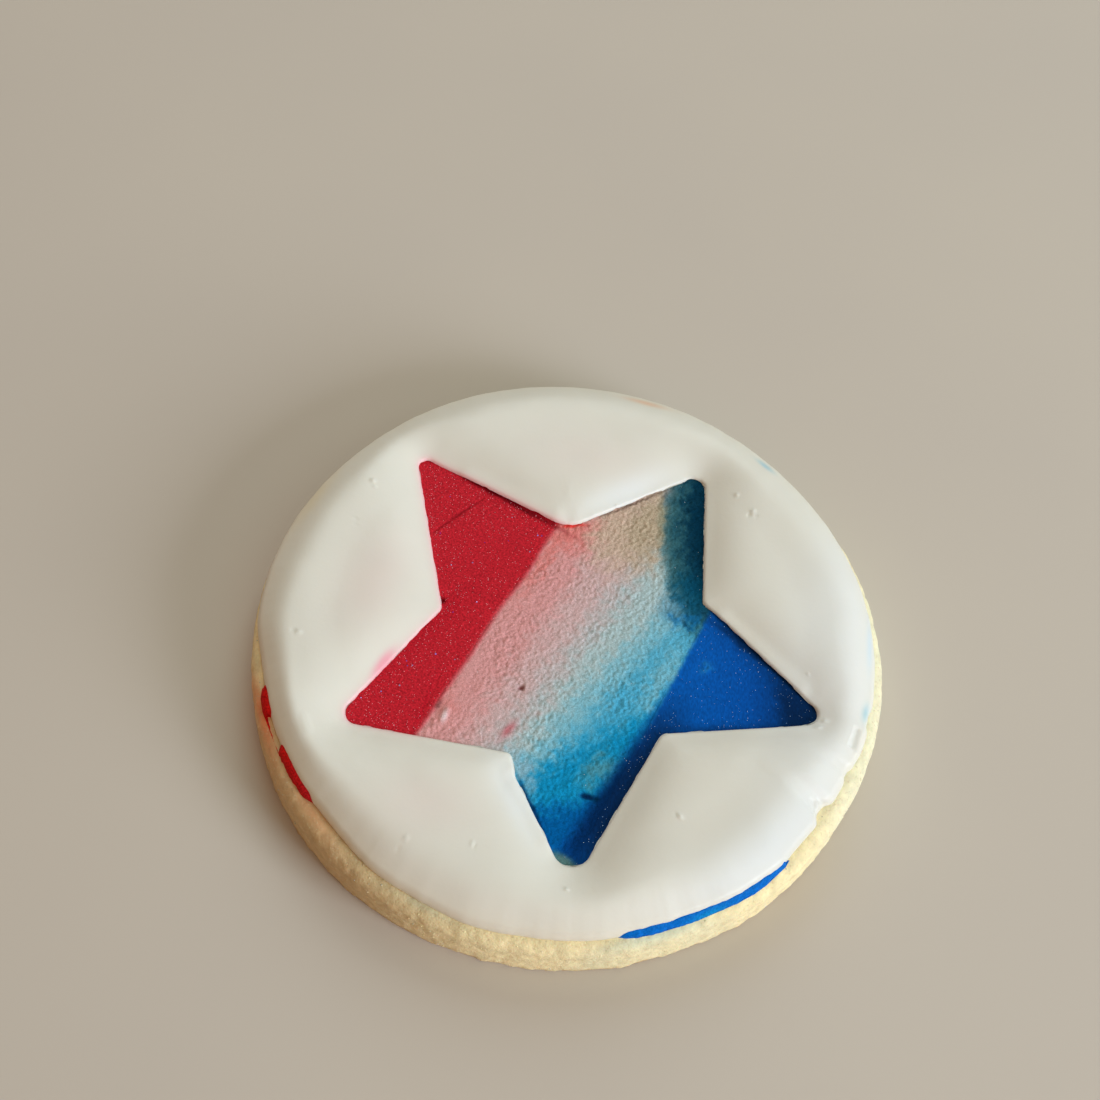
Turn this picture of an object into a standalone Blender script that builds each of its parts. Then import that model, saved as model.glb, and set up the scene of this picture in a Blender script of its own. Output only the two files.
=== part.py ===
"""Round sugar cookie iced in two coats, built in metres with +Z up.

The origin is the centre of the underside. From the bottom up the cookie is a rolled and cut biscuit, a thin first
coat of icing flooded in three bands (red, pale and blue), and a thick white top coat that leaves a five-pointed
star open down to the bands. Where the first coat runs out further than the white, it shows at the rim.
"""

import math

import bmesh
import bpy
from mathutils import Vector

MM = 0.001

# Driving dimensions.
BISCUIT_RADIUS = 41.6 * MM
BISCUIT_HEIGHT = 7.6 * MM
COAT_THICKNESS = 0.9 * MM
WHITE_THICKNESS = 2.1 * MM
GAP = 0.3 * MM

# Heights that follow from them.
COAT_BOTTOM = BISCUIT_HEIGHT + GAP
COAT_TOP = COAT_BOTTOM + COAT_THICKNESS
WHITE_BOTTOM = COAT_TOP + GAP

# Biscuit rim, as cut by a round cutter and then baked.
TOP_EDGE_RADIUS = 1.3 * MM
FOOT_EDGE_RADIUS = 0.6 * MM
WALL_DRAW_IN = 0.7 * MM
RIM_ARC_STEPS = 4
BISCUIT_STEPS = 96
# Each swell is (waves around the rim, height, angle of a crest in degrees).
BISCUIT_SWELLS = ((2, 0.16 * MM, -120), (3, 0.20 * MM, -118), (5, 0.10 * MM, -130), (9, 0.05 * MM, 20))

# First coat: its rim, and the runs where it spreads out past the white as (angle, half width, reach).
COAT_RADIUS = 38.0 * MM
COAT_SWELLS = ((3, 0.15 * MM, 40), (7, 0.08 * MM, 10))
COAT_RUNS = ((-159, 9, 2.6 * MM), (-142, 8, 2.3 * MM), (-66, 17, 2.4 * MM), (-48, 10, 1.6 * MM))
COAT_EDGE_ROUND = 0.28 * MM

# The bands meet along two slanting lines, each given by a point on it. Both lie along BAND_ANGLE.
BAND_ANGLE = 70.5
RED_LINE_POINT = Vector((-10.8 * MM, 0.0))
BLUE_LINE_POINT = Vector((14.9 * MM, -3.0 * MM))

# White top coat: its rim, and the places where it stops short as (angle, half width, depth).
WHITE_RADIUS = 40.1 * MM
WHITE_SWELLS = ((1, 0.50 * MM, 110), (4, 0.10 * MM, 5), (7, 0.08 * MM, -85))
WHITE_DIPS = ((-140, 22, 0.55 * MM), (-66, 14, 0.15 * MM), (-31, 10, 0.60 * MM))
WHITE_SHOULDER = 4.6 * MM
WHITE_SAG = 0.45 * MM
WHITE_RIM_EDGE = 0.35 * MM
SHOULDER_POWER = 2.3
SOFT_DISTANCE_POWER = 3.0

# Star opening: its centre, the reach of its tips and notches, and how far each corner strays from regular.
STAR_CENTRE = Vector((0.5 * MM, -1.1 * MM))
STAR_TIP_REACH = 33.7 * MM
STAR_NOTCH_REACH = 17.7 * MM
STAR_TURN = 133.4
# One entry for each point, clockwise from the upper left: (tip reach, tip turn, notch reach, notch turn).
STAR_STRAYS = (
    (2.2 * MM, 0.0, -0.3 * MM, 0.9),
    (-0.6 * MM, 0.1, 0.6 * MM, 0.5),
    (1.2 * MM, -1.6, -0.8 * MM, 3.4),
    (-0.7 * MM, -2.1, 0.6 * MM, 1.3),
    (-1.4 * MM, 3.1, -0.1 * MM, 3.5),
)
TIP_ROUND = 1.3 * MM
NOTCH_ROUND = 0.9 * MM
TIP_ARC_STEPS = 5
NOTCH_ARC_STEPS = 3
EDGE_STEPS = 11
WHITE_ACROSS_STEPS = 15


def swell(angle, swells):
    """Sum of the cosine swells of an outline at an angle in radians."""
    return sum(height * math.cos(waves * (angle - math.radians(crest))) for waves, height, crest in swells)


def bump(angle, centre_deg, half_width_deg):
    """Bell curve around an angle, 1 at its centre, that wraps round the circle."""
    away = (math.degrees(angle) - centre_deg + 180.0) % 360.0 - 180.0
    return math.exp(-((away / half_width_deg) ** 2))


def biscuit_radius(angle):
    """Radius of the biscuit's wall at its widest."""
    return BISCUIT_RADIUS + swell(angle, BISCUIT_SWELLS)


def coat_radius(angle):
    """Radius of the first coat, with the runs that show at the rim. Runs that meet don't add up."""
    run = max(reach * bump(angle, centre, half) for centre, half, reach in COAT_RUNS)
    return COAT_RADIUS + swell(angle, COAT_SWELLS) + run


def white_radius(angle):
    """Radius of the white coat, short where it left the first coat bare."""
    dip = sum(depth * bump(angle, centre, half) for centre, half, depth in WHITE_DIPS)
    return WHITE_RADIUS + swell(angle, WHITE_SWELLS) - dip


def polar(radius, angle):
    """Point at a radius and an angle in radians."""
    return Vector((radius * math.cos(angle), radius * math.sin(angle)))


def star_corners():
    """The ten corners of the star before rounding, clockwise, tips and notches in turn."""
    corners = []
    for point, (tip_reach, tip_turn, notch_reach, notch_turn) in enumerate(STAR_STRAYS):
        tip_angle = math.radians(STAR_TURN - 72.0 * point + tip_turn)
        notch_angle = math.radians(STAR_TURN - 72.0 * (point + 0.5) + notch_turn)
        corners.append(STAR_CENTRE + polar(STAR_TIP_REACH + tip_reach, tip_angle))
        corners.append(STAR_CENTRE + polar(STAR_NOTCH_REACH + notch_reach, notch_angle))
    return corners


def corner_arc(before, corner, after, radius, steps):
    """Points of the arc that rounds a corner, from the edge before it to the edge after it."""
    to_before = (before - corner).normalized()
    to_after = (after - corner).normalized()
    half_angle = to_before.angle(to_after) / 2.0
    centre = corner + (to_before + to_after).normalized() * (radius / math.sin(half_angle))
    start = corner + to_before * (radius / math.tan(half_angle)) - centre
    end = corner + to_after * (radius / math.tan(half_angle)) - centre
    sweep = start.angle_signed(end)
    return [centre + turned(start, -sweep * step / steps) for step in range(steps + 1)]


def turned(vector, angle):
    """A flat vector turned anticlockwise by an angle in radians."""
    cosine, sine = math.cos(angle), math.sin(angle)
    return Vector((vector.x * cosine - vector.y * sine, vector.x * sine + vector.y * cosine))


def star_outline():
    """The rounded star as a closed list of points: an arc at each corner and even steps between them."""
    corners = star_corners()
    count = len(corners)
    arcs = []
    for index, corner in enumerate(corners):
        is_tip = index % 2 == 0
        radius = TIP_ROUND if is_tip else NOTCH_ROUND
        steps = TIP_ARC_STEPS if is_tip else NOTCH_ARC_STEPS
        arcs.append(corner_arc(corners[index - 1], corner, corners[(index + 1) % count], radius, steps))
    outline = []
    for index, arc in enumerate(arcs):
        outline.extend(arc)
        following = arcs[(index + 1) % count][0]
        outline.extend(arc[-1].lerp(following, step / EDGE_STEPS) for step in range(1, EDGE_STEPS))
    return outline


def distance_to_edge(point, start, end):
    """Distance from a point to a straight edge."""
    along = end - start
    share = max(0.0, min(1.0, (point - start).dot(along) / along.length_squared))
    return (point - start - along * share).length


def soft_distance(point, corners):
    """Distance to the nearest edge of the white coat, blended so that it has no ridge between two edges."""
    angle = math.atan2(point.y, point.x)
    distances = [max(1e-7, white_radius(angle) - point.length)]
    for index, corner in enumerate(corners):
        distances.append(max(1e-7, distance_to_edge(point, corner, corners[(index + 1) % len(corners)])))
    total = sum(distance**-SOFT_DISTANCE_POWER for distance in distances)
    return total ** (-1.0 / SOFT_DISTANCE_POWER)


def white_height(point, corners):
    """Top of the white coat above its edge: a round shoulder, then a shallow sag in the middle of each lobe."""
    distance = soft_distance(point, corners)
    inward = min(1.0, distance / WHITE_SHOULDER)
    shoulder = (1.0 - (1.0 - inward) ** SHOULDER_POWER) ** (1.0 / SHOULDER_POWER)
    sunk = max(0.0, distance / WHITE_SHOULDER - 0.8)
    return (WHITE_THICKNESS - WHITE_RIM_EDGE) * shoulder - WHITE_SAG * sunk / (1.0 + sunk)


def clear_scene():
    """Remove whatever the file opened with."""
    for old in list(bpy.data.objects):
        bpy.data.objects.remove(old)


def food_material(name, colour, roughness):
    """Principled material for one kind of icing or for the biscuit."""
    material = bpy.data.materials.new(name)
    material.use_nodes = True
    shader = material.node_tree.nodes["Principled BSDF"]
    shader.inputs["Base Color"].default_value = (*colour, 1.0)
    shader.inputs["Roughness"].default_value = roughness
    shader.inputs["Metallic"].default_value = 0.0
    return material


def add_object(name, data, collection, material):
    """Place a mesh or a curve in the cookie's collection with its material."""
    obj = bpy.data.objects.new(name, data)
    obj.data.materials.append(material)
    collection.objects.link(obj)
    return obj


def biscuit_profile():
    """Half section of the biscuit, from the centre of the top down its outer side to the centre of the foot."""
    top_radius = BISCUIT_RADIUS - WALL_DRAW_IN
    profile = [(0.0, BISCUIT_HEIGHT), (top_radius * 0.5, BISCUIT_HEIGHT)]
    for step in range(RIM_ARC_STEPS + 1):
        turn = math.pi / 2.0 * step / RIM_ARC_STEPS
        across = top_radius - TOP_EDGE_RADIUS * (1.0 - math.sin(turn))
        profile.append((across, BISCUIT_HEIGHT - TOP_EDGE_RADIUS * (1.0 - math.cos(turn))))
    for share in (0.62, 0.38, 0.2):
        draw_in = WALL_DRAW_IN * share**2
        profile.append((BISCUIT_RADIUS - draw_in, BISCUIT_HEIGHT * share))
    for step in range(RIM_ARC_STEPS):
        turn = math.pi / 2.0 * (step + 1) / RIM_ARC_STEPS
        across = BISCUIT_RADIUS - FOOT_EDGE_RADIUS * (1.0 - math.cos(turn))
        profile.append((across, FOOT_EDGE_RADIUS * (1.0 - math.sin(turn))))
    profile.append((0.0, 0.0))
    return profile


def make_biscuit(collection, material):
    """Biscuit: the profile turned with Screw, then its wall moved in and out to the uneven cut outline."""
    mesh = bpy.data.meshes.new("biscuit_profile")
    points = [(across, 0.0, height) for across, height in biscuit_profile()]
    mesh.from_pydata(points, [(index, index + 1) for index in range(len(points) - 1)], [])
    guide = bpy.data.objects.new("biscuit_guide", mesh)
    collection.objects.link(guide)
    screw = guide.modifiers.new("turn", "SCREW")
    screw.steps = BISCUIT_STEPS
    screw.render_steps = BISCUIT_STEPS
    screw.use_merge_vertices = True
    screw.merge_threshold = 0.00001
    graph = bpy.context.evaluated_depsgraph_get()
    turned_mesh = bpy.data.meshes.new_from_object(guide.evaluated_get(graph))
    bpy.data.objects.remove(guide)
    for vertex in turned_mesh.vertices:
        scale = biscuit_radius(math.atan2(vertex.co.y, vertex.co.x)) / BISCUIT_RADIUS
        vertex.co.x *= scale
        vertex.co.y *= scale
    turned_mesh.shade_smooth()
    return add_object("biscuit", turned_mesh, collection, material)


def line_crossings(line_point):
    """The two angles at which a band line meets the first coat's rim, the lower end first."""
    along = polar(1.0, math.radians(BAND_ANGLE))
    angles = []
    for way in (-1.0, 1.0):
        inside, outside = 0.0, 2.0 * COAT_RADIUS
        for _ in range(40):
            middle = (inside + outside) / 2.0
            point = line_point + along * way * middle
            if point.length < coat_radius(math.atan2(point.y, point.x)):
                inside = middle
            else:
                outside = middle
        end = line_point + along * way * inside
        angles.append(math.atan2(end.y, end.x))
    return angles


def rim_run(start, end, steps):
    """Points of the first coat's rim, anticlockwise from one angle to another."""
    sweep = (end - start) % (2.0 * math.pi)
    angles = [start + sweep * step / steps for step in range(steps + 1)]
    return [polar(coat_radius(angle), angle) for angle in angles]


def make_band(name, outline, collection, material):
    """One flooded band: a flat filled curve with a small round along its edge."""
    curve = bpy.data.curves.new(name + "_outline", "CURVE")
    curve.dimensions = "2D"
    curve.fill_mode = "BOTH"
    curve.extrude = COAT_THICKNESS / 2.0 - COAT_EDGE_ROUND
    curve.bevel_depth = COAT_EDGE_ROUND
    curve.bevel_resolution = 1
    curve.offset = -COAT_EDGE_ROUND - GAP / 2.0
    spline = curve.splines.new("POLY")
    spline.points.add(len(outline) - 1)
    for control, point in zip(spline.points, outline):
        control.co = (point.x, point.y, 0.0, 1.0)
    spline.use_cyclic_u = True
    band = add_object(name, curve, collection, material)
    band.location.z = COAT_BOTTOM + COAT_THICKNESS / 2.0
    return band


def make_first_coat(collection, red, pale, blue):
    """The three bands of the first coat, cut from one uneven disc by two slanting lines."""
    red_low, red_high = line_crossings(RED_LINE_POINT)
    blue_low, blue_high = line_crossings(BLUE_LINE_POINT)
    pale_outline = rim_run(red_low, blue_low, 22) + rim_run(blue_high, red_high, 20)
    make_band("icing_red", rim_run(red_high, red_low, 52), collection, red)
    make_band("icing_pale", pale_outline, collection, pale)
    make_band("icing_blue", rim_run(blue_low, blue_high, 52), collection, blue)


def white_underside(angle):
    """Radius and height of the lip where the white hangs over the first coat's rim onto the biscuit."""
    room = white_radius(angle) - coat_radius(angle) - 2.4 * GAP
    share = max(0.0, min(1.0, room / (2.0 * GAP)))
    drop = (COAT_THICKNESS + GAP) * share * share * (3.0 - 2.0 * share)
    radius = min(coat_radius(angle) + GAP, white_radius(angle) - 1.4 * GAP)
    return radius, WHITE_BOTTOM - drop


def make_white(collection, material):
    """White top coat: rings lofted from the star opening out to the round rim, over the top and back below."""
    corners = star_corners()
    inner = star_outline()
    mesh = bmesh.new()
    rings = []

    def add_ring(points):
        rings.append([mesh.verts.new(point) for point in points])

    angles = [math.atan2(*(point - STAR_CENTRE).yx) for point in inner]
    outer = [polar(white_radius(angle), angle) for angle in angles]
    add_ring([(*point, WHITE_BOTTOM) for point in inner])
    for step in range(WHITE_ACROSS_STEPS + 1):
        share = 0.5 - 0.5 * math.cos(math.pi * step / WHITE_ACROSS_STEPS)
        ring = []
        for start, end in zip(inner, outer):
            point = start.lerp(end, share)
            on_edge = step in (0, WHITE_ACROSS_STEPS)
            height = 0.0 if on_edge else white_height(point, corners)
            ring.append((*point, WHITE_BOTTOM + WHITE_RIM_EDGE + height))
        add_ring(ring)
    lips = [white_underside(angle) for angle in angles]
    add_ring([(*point, lip_height) for point, (_, lip_height) in zip(outer, lips)])
    add_ring([(*polar(radius, angle), height) for angle, (radius, height) in zip(angles, lips)])
    add_ring([(*polar(radius, angle), WHITE_BOTTOM) for angle, (radius, _) in zip(angles, lips)])
    count = len(inner)
    for ring, following in zip(rings, rings[1:] + rings[:1]):
        for index in range(count):
            nearby = (index + 1) % count
            mesh.faces.new((ring[index], ring[nearby], following[nearby], following[index]))
    bmesh.ops.remove_doubles(mesh, verts=mesh.verts, dist=0.000002)
    bmesh.ops.triangulate(mesh, faces=mesh.faces)
    bmesh.ops.recalc_face_normals(mesh, faces=mesh.faces)
    data = bpy.data.meshes.new("icing_white_loft")
    mesh.to_mesh(data)
    mesh.free()
    data.shade_smooth()
    data.set_sharp_from_angle(angle=math.radians(50.0))
    return add_object("icing_white", data, collection, material)


def main():
    """Build the cookie in its own collection."""
    clear_scene()
    collection = bpy.data.collections.new("iced_sugar_cookie")
    bpy.context.scene.collection.children.link(collection)
    make_biscuit(collection, food_material("baked_biscuit", (0.83, 0.66, 0.40), 0.85))
    make_first_coat(
        collection,
        food_material("red_icing", (0.55, 0.01, 0.03), 0.45),
        food_material("pale_icing", (0.55, 0.52, 0.50), 0.75),
        food_material("blue_icing", (0.01, 0.12, 0.50), 0.40),
    )
    make_white(collection, food_material("white_icing", (0.85, 0.83, 0.76), 0.35))


main()
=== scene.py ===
"""Looks of an iced sugar cookie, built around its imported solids.

Everything is in metres. Sizes are written in millimetres and scaled by MM. The cookie is made the way a baker makes
it: the cut biscuit, a thin first coat of icing flooded in three bands and airbrushed where they meet, then a thick
white coat that leaves a star open. Glitter, sugar and crumbs are scattered over those last.
"""

from __future__ import annotations

import logging
import math
from collections.abc import Mapping, Sequence
from dataclasses import dataclass
from enum import Enum

import bpy
import numpy as np
from mathutils import Matrix, Vector
from mathutils.geometry import delaunay_2d_cdt


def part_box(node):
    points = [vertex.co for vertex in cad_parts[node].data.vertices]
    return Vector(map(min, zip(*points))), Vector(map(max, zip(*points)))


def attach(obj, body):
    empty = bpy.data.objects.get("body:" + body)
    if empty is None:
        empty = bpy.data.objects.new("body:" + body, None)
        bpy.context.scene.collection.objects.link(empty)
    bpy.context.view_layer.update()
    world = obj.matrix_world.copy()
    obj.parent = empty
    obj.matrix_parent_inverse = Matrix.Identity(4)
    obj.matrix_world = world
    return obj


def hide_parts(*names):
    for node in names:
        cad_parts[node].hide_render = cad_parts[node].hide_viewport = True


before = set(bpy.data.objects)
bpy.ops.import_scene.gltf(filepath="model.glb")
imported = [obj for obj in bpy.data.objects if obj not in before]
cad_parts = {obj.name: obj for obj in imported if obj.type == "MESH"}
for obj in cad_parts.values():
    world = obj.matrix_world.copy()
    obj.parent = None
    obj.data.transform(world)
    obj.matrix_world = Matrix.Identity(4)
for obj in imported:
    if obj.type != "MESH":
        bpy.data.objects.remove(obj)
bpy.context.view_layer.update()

LOG = logging.getLogger("cookie")
MM = 0.001
BODY = "root"
# Names under which a mesh carries its painted colour and how thickly specks lie on it.
TONE = "tone"
SPARKLE = "sparkle"
# Part of the lamps' light that a white surface sends back: on the whole cookie, and down in the star.
LIGHT_SHARE = 0.89
COAT_LIGHT_SHARE = (0.86, 0.84, 0.79)
# The palest that a painted colour may be, as linear light.
PALEST = 0.92
# Whole numbers that scramble the noise's lattice, and how strong the noise is made.
LATTICE_STEPS = (73856093, 19349663, 83492791)
SEED_STEP = 2654435
SCRAMBLER = 1274126177
LOW_BITS = 0x7FFFFFFF
NOISE_LEVELS = 10005
NOISE_GAIN = 1.6
OCTAVE_SHIFT = 17.3

Array = np.ndarray
# A straight line: a point in millimetres and a direction in degrees.
Line = tuple[tuple[float, float], float]


# ---- Number helpers ----


def smooth_step(low: float, high: float, value: Array) -> Array:
    """Rise of each value from 0 to 1 between two limits, with a soft start and end."""
    share = np.clip((value - low) / (high - low), 0.0, 1.0)
    return share * share * (3.0 - 2.0 * share)


def wrap_degrees(angle: Array) -> Array:
    """Angles in degrees brought between -180 and 180."""
    return (angle + 180.0) % 360.0 - 180.0


def polar(radius: Array, degrees: Array) -> Array:
    """Flat points at a radius and an angle in degrees, one row each."""
    turn = np.radians(degrees)
    return np.stack([radius * np.cos(turn), radius * np.sin(turn)], axis=-1)


def angle_of(points: Array) -> Array:
    """Angle of each flat point in degrees, anticlockwise from +X."""
    return np.degrees(np.arctan2(points[:, 1], points[:, 0]))


def radius_of(points: Array) -> Array:
    """Distance of each point from the upright through the middle."""
    return np.linalg.norm(points[:, :2], axis=1)


def turned_axes(points: Array, degrees: float) -> tuple[Array, Array]:
    """Distances of flat points along a direction and to the left of it.

    Args:
        points: flat points in metres.
        degrees: the direction, anticlockwise from +X.

    Returns:
        Distance along it and distance to its left, for each point.
    """
    turn = math.radians(degrees)
    along = points[:, 0] * math.cos(turn) + points[:, 1] * math.sin(turn)
    return along, points[:, 1] * math.cos(turn) - points[:, 0] * math.sin(turn)


def left_of(steps: Array) -> Array:
    """Unit vectors a quarter turn to the left of flat steps."""
    turned = np.stack([-steps[:, 1], steps[:, 0]], axis=1)
    return turned / np.linalg.norm(turned, axis=1)[:, None]


def raised(flat: Array, height: float | Array) -> Array:
    """Flat points with a height added to each."""
    return np.column_stack([flat, np.full(len(flat), height)])


def rounded_step(inward: Array, power: float) -> Array:
    """Height at each share of a rounded edge's width: 0 and steep at 0, level at 1, squarer with more power."""
    share = np.clip(inward, 0.0, 1.0)
    return (1.0 - (1.0 - share) ** power) ** (1.0 / power)


def swell_up(inward: Array, steady: float, width: float | Array) -> Array:
    """Rise of soft icing away from an edge: a steady slope that eases off until it is level.

    Args:
        inward: distance in from the edge.
        steady: distance over which the slope stays the same.
        width: distance at which the icing is level.

    Returns:
        Height as a share of the full height.
    """
    share = np.clip((inward - steady) / (width - steady), 0.0, 1.0)
    eased = (width - steady) * (share - share**3 + share**4 / 2.0)
    return (np.minimum(inward, steady) + eased) / (steady + (width - steady) / 2.0)


@dataclass(frozen=True)
class Grain:
    """Seeded lattice noise, for unevenness that comes out the same on every run."""

    seed: int

    def _corner(self, cell: Array, salt: int) -> Array:
        """Number between -1 and 1 for each lattice cell.

        Args:
            cell: whole-number place of each cell.
            salt: which of the cell's numbers.

        Returns:
            One number for each cell.
        """
        mixed = (cell * np.array(LATTICE_STEPS)).sum(axis=-1) + (self.seed * 101 + salt) * SEED_STEP
        mixed = np.bitwise_and(mixed, LOW_BITS)
        mixed = np.bitwise_xor(mixed, mixed >> 13) * SCRAMBLER
        mixed = np.bitwise_and(mixed, LOW_BITS)
        mixed = np.bitwise_xor(mixed, mixed >> 16)
        return (mixed % (2 * NOISE_LEVELS + 1)) / NOISE_LEVELS - 1.0

    def single(self, points: Array) -> Array:
        """One octave of gradient noise.

        Args:
            points: three columns, in lattice cells.

        Returns:
            One number for each point, mostly between -0.7 and 0.7.
        """
        base = np.floor(points).astype(np.int64)
        inside = points - base
        fade = inside**3 * (inside * (inside * 6.0 - 15.0) + 10.0)
        total = np.zeros(len(points))
        for dx in (0, 1):
            for dy in (0, 1):
                for dz in (0, 1):
                    step = np.array([dx, dy, dz])
                    cell = base + step
                    away = inside - step
                    slope = sum(self._corner(cell, salt) * away[:, salt] for salt in range(3))
                    weight = np.prod(np.where(step == 1, fade, 1.0 - fade), axis=1)
                    total += weight * slope
        return total * NOISE_GAIN

    def layered(self, points: Array, pitch: float, octaves: int = 3, fade: float = 0.5, draw: float = 0.0) -> Array:
        """Several octaves added up, each half as coarse as the one before.

        Args:
            points: two or three columns, in metres.
            pitch: size of the coarsest lumps, in metres.
            octaves: how many octaves.
            fade: strength of each octave against the one before.
            draw: any other number gives another stretch of the same noise.

        Returns:
            One number for each point, mostly between -1 and 1.
        """
        moved = points + draw
        solid = moved if points.shape[1] == 3 else raised(moved, 0.0)
        total = np.zeros(len(points))
        strength = 1.0
        for octave in range(octaves):
            total += strength * self.single(solid / pitch * 2.0**octave + OCTAVE_SHIFT * octave)
            strength *= fade
        return total


# ---- Colours ----


class Tint(Enum):
    """Icing and dough colours, as they look on a screen under the studio's light, 0 to 255."""

    CRIMSON = (179, 31, 42)
    DEEP_CRIMSON = (152, 12, 26)
    SCARLET = (214, 46, 40)
    DARK_SCARLET = (184, 24, 20)
    SALMON = (206, 116, 108)
    ROSE = (200, 143, 139)
    BLUSH = (192, 161, 157)
    WARM_GREY = (178, 171, 168)
    MIST_GREY = (160, 180, 179)
    PALE_CYAN = (118, 172, 184)
    CYAN = (68, 155, 184)
    LAKE_BLUE = (14, 130, 173)
    DEEP_LAKE = (2, 86, 146)
    CLOUD_BLUE = (128, 166, 180)
    TEAL = (44, 89, 97)
    DEEP_TEAL = (2, 43, 64)
    SLATE_GREEN = (74, 138, 152)
    TIP_TEAL = (86, 120, 114)
    BEIGE = (171, 154, 128)
    SAND = (186, 163, 141)
    STEEL = (86, 134, 153)
    MID_TEAL = (6, 70, 96)
    WINE = (92, 6, 14)
    UMBER = (112, 92, 80)
    # Painted shade: the dark inside of pits and cracks.
    PIT_SHADE = (112, 62, 60)
    OLIVE = (142, 137, 110)
    BRIGHT_BLUE = (6, 94, 172)
    ROYAL_BLUE = (4, 82, 162)
    DEEP_BLUE = (3, 70, 146)
    NAVY = (3, 50, 106)
    INK = (3, 33, 70)
    WHITE_ICING = (213, 212, 202)
    # Painted highlight: white as it looks on a lit slope.
    HIGHLIGHT_WHITE = (221, 227, 229)
    # Painted light: white as it looks where the lamps light it.
    LIT_MILK = (216, 219, 217)
    SHADED_MILK = (203, 208, 209)
    PINK_BLEED = (228, 170, 176)
    PINK_SMEAR = (230, 146, 164)
    ICE_BLUE = (190, 212, 228)
    SKY_STAIN = (120, 178, 204)
    CREAM = (214, 204, 176)
    SHORTBREAD = (228, 214, 168)
    PALE_BUTTER = (222, 219, 188)
    GOLDEN = (186, 162, 122)
    TOASTED = (188, 150, 96)
    APRICOT = (222, 150, 104)
    ORANGE_STAIN = (222, 118, 74)
    SILVER = (226, 230, 236)
    BLUSH_SILVER = (252, 150, 166)
    ICE_SILVER = (150, 190, 232)
    VIOLET = (150, 60, 220)
    FLOOR = (198, 190, 178)

    @property
    def screen(self) -> Array:
        """Colour as screen values between 0 and 1."""
        return np.array(self.value) / 255.0

    @property
    def linear(self) -> tuple[float, float, float, float]:
        """Colour for a shader socket."""
        red, green, blue = to_linear(self.screen)
        return float(red), float(green), float(blue), 1.0


def to_linear(screen: Array) -> Array:
    """Screen values between 0 and 1 turned into linear light."""
    return np.where(screen <= 0.04045, screen / 12.92, ((screen + 0.055) / 1.055) ** 2.4)


@dataclass(frozen=True)
class Mist:
    """One soft pass of colour: an oval that fades towards its edge.

    Args:
        centre: place in millimetres.
        along: half length of the oval in millimetres.
        across: half width of the oval in millimetres.
        turn: angle of its length in degrees.
        tint: the colour laid down.
        cover: how much of it there is in the middle, up to 1.
        firm: 1 fades softly, 3 keeps its colour almost to the edge.
    """

    centre: tuple[float, float]
    along: float
    across: float
    turn: float
    tint: Tint
    cover: float
    firm: float = 1.0

    def weight(self, points: Array) -> Array:
        """Cover at each flat point, in metres.

        Args:
            points: flat points in metres.

        Returns:
            One share for each point.
        """
        length, width = turned_axes(points / MM - np.array(self.centre), self.turn)
        spread = (length / self.along) ** 2 + (width / self.across) ** 2
        return self.cover * np.exp(-(spread**self.firm))


@dataclass(frozen=True)
class Wash:
    """Colour on one side of a straight line, with a soft edge.

    Args:
        start: a point of the line in millimetres.
        turn: direction of the line in degrees. The colour lies on its right.
        soft: width of the edge in millimetres.
        tint: the colour laid down.
        cover: how much of it there is, up to 1.
    """

    start: tuple[float, float]
    turn: float
    soft: float
    tint: Tint
    cover: float = 1.0

    def weight(self, points: Array) -> Array:
        """Cover at each flat point, in metres."""
        _, left = turned_axes(points / MM - np.array(self.start), self.turn)
        return self.cover * smooth_step(-self.soft / 2.0, self.soft / 2.0, -left)


def blend(under: Array, over: Array, share: Array) -> Array:
    """Colours moved towards other colours, by a share for each row."""
    return under * (1.0 - share[:, None]) + over * share[:, None]


def paint(points: Array, ground: Tint, passes: Sequence[Mist | Wash]) -> Array:
    """Screen colours of a ground with passes of colour laid over it in order."""
    return overlay(points, np.tile(ground.screen, (len(points), 1)), passes)


def overlay(points: Array, colours: Array, passes: Sequence[Mist | Wash]) -> Array:
    """Lay passes of colour over colours that are there already.

    Args:
        points: flat points in metres.
        colours: screen colours under the passes.
        passes: what is laid over them.

    Returns:
        Screen colours, one row for each point.
    """
    for layer in passes:
        colours = blend(colours, layer.tint.screen, layer.weight(points))
    return colours


# ---- Outlines ----


@dataclass(frozen=True)
class Swell:
    """Even waves around a rim: how many, how high in millimetres, and the angle of a crest in degrees."""

    waves: int
    height: float
    crest: float


@dataclass(frozen=True)
class Stretch:
    """A stretch of a rim that stands out or falls short.

    Args:
        start: angle at which it starts, in degrees.
        end: angle at which it ends, further anticlockwise.
        reach: how far it stands out in millimetres, negative where it falls short.
        ease_in: degrees over which it builds up.
        ease_out: degrees over which it dies away.
    """

    start: float
    end: float
    reach: float
    ease_in: float = 4.0
    ease_out: float = 4.0

    def at(self, degrees: Array) -> Array:
        """How far the rim stands out at each angle, in millimetres.

        Args:
            degrees: angles around the rim.

        Returns:
            One distance for each angle.
        """
        past = (degrees - self.start) % 360.0
        span = (self.end - self.start) % 360.0
        rise = smooth_step(0.0, self.ease_in, past)
        fall = 1.0 - smooth_step(span - self.ease_out, span, past)
        return self.reach * rise * fall


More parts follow.
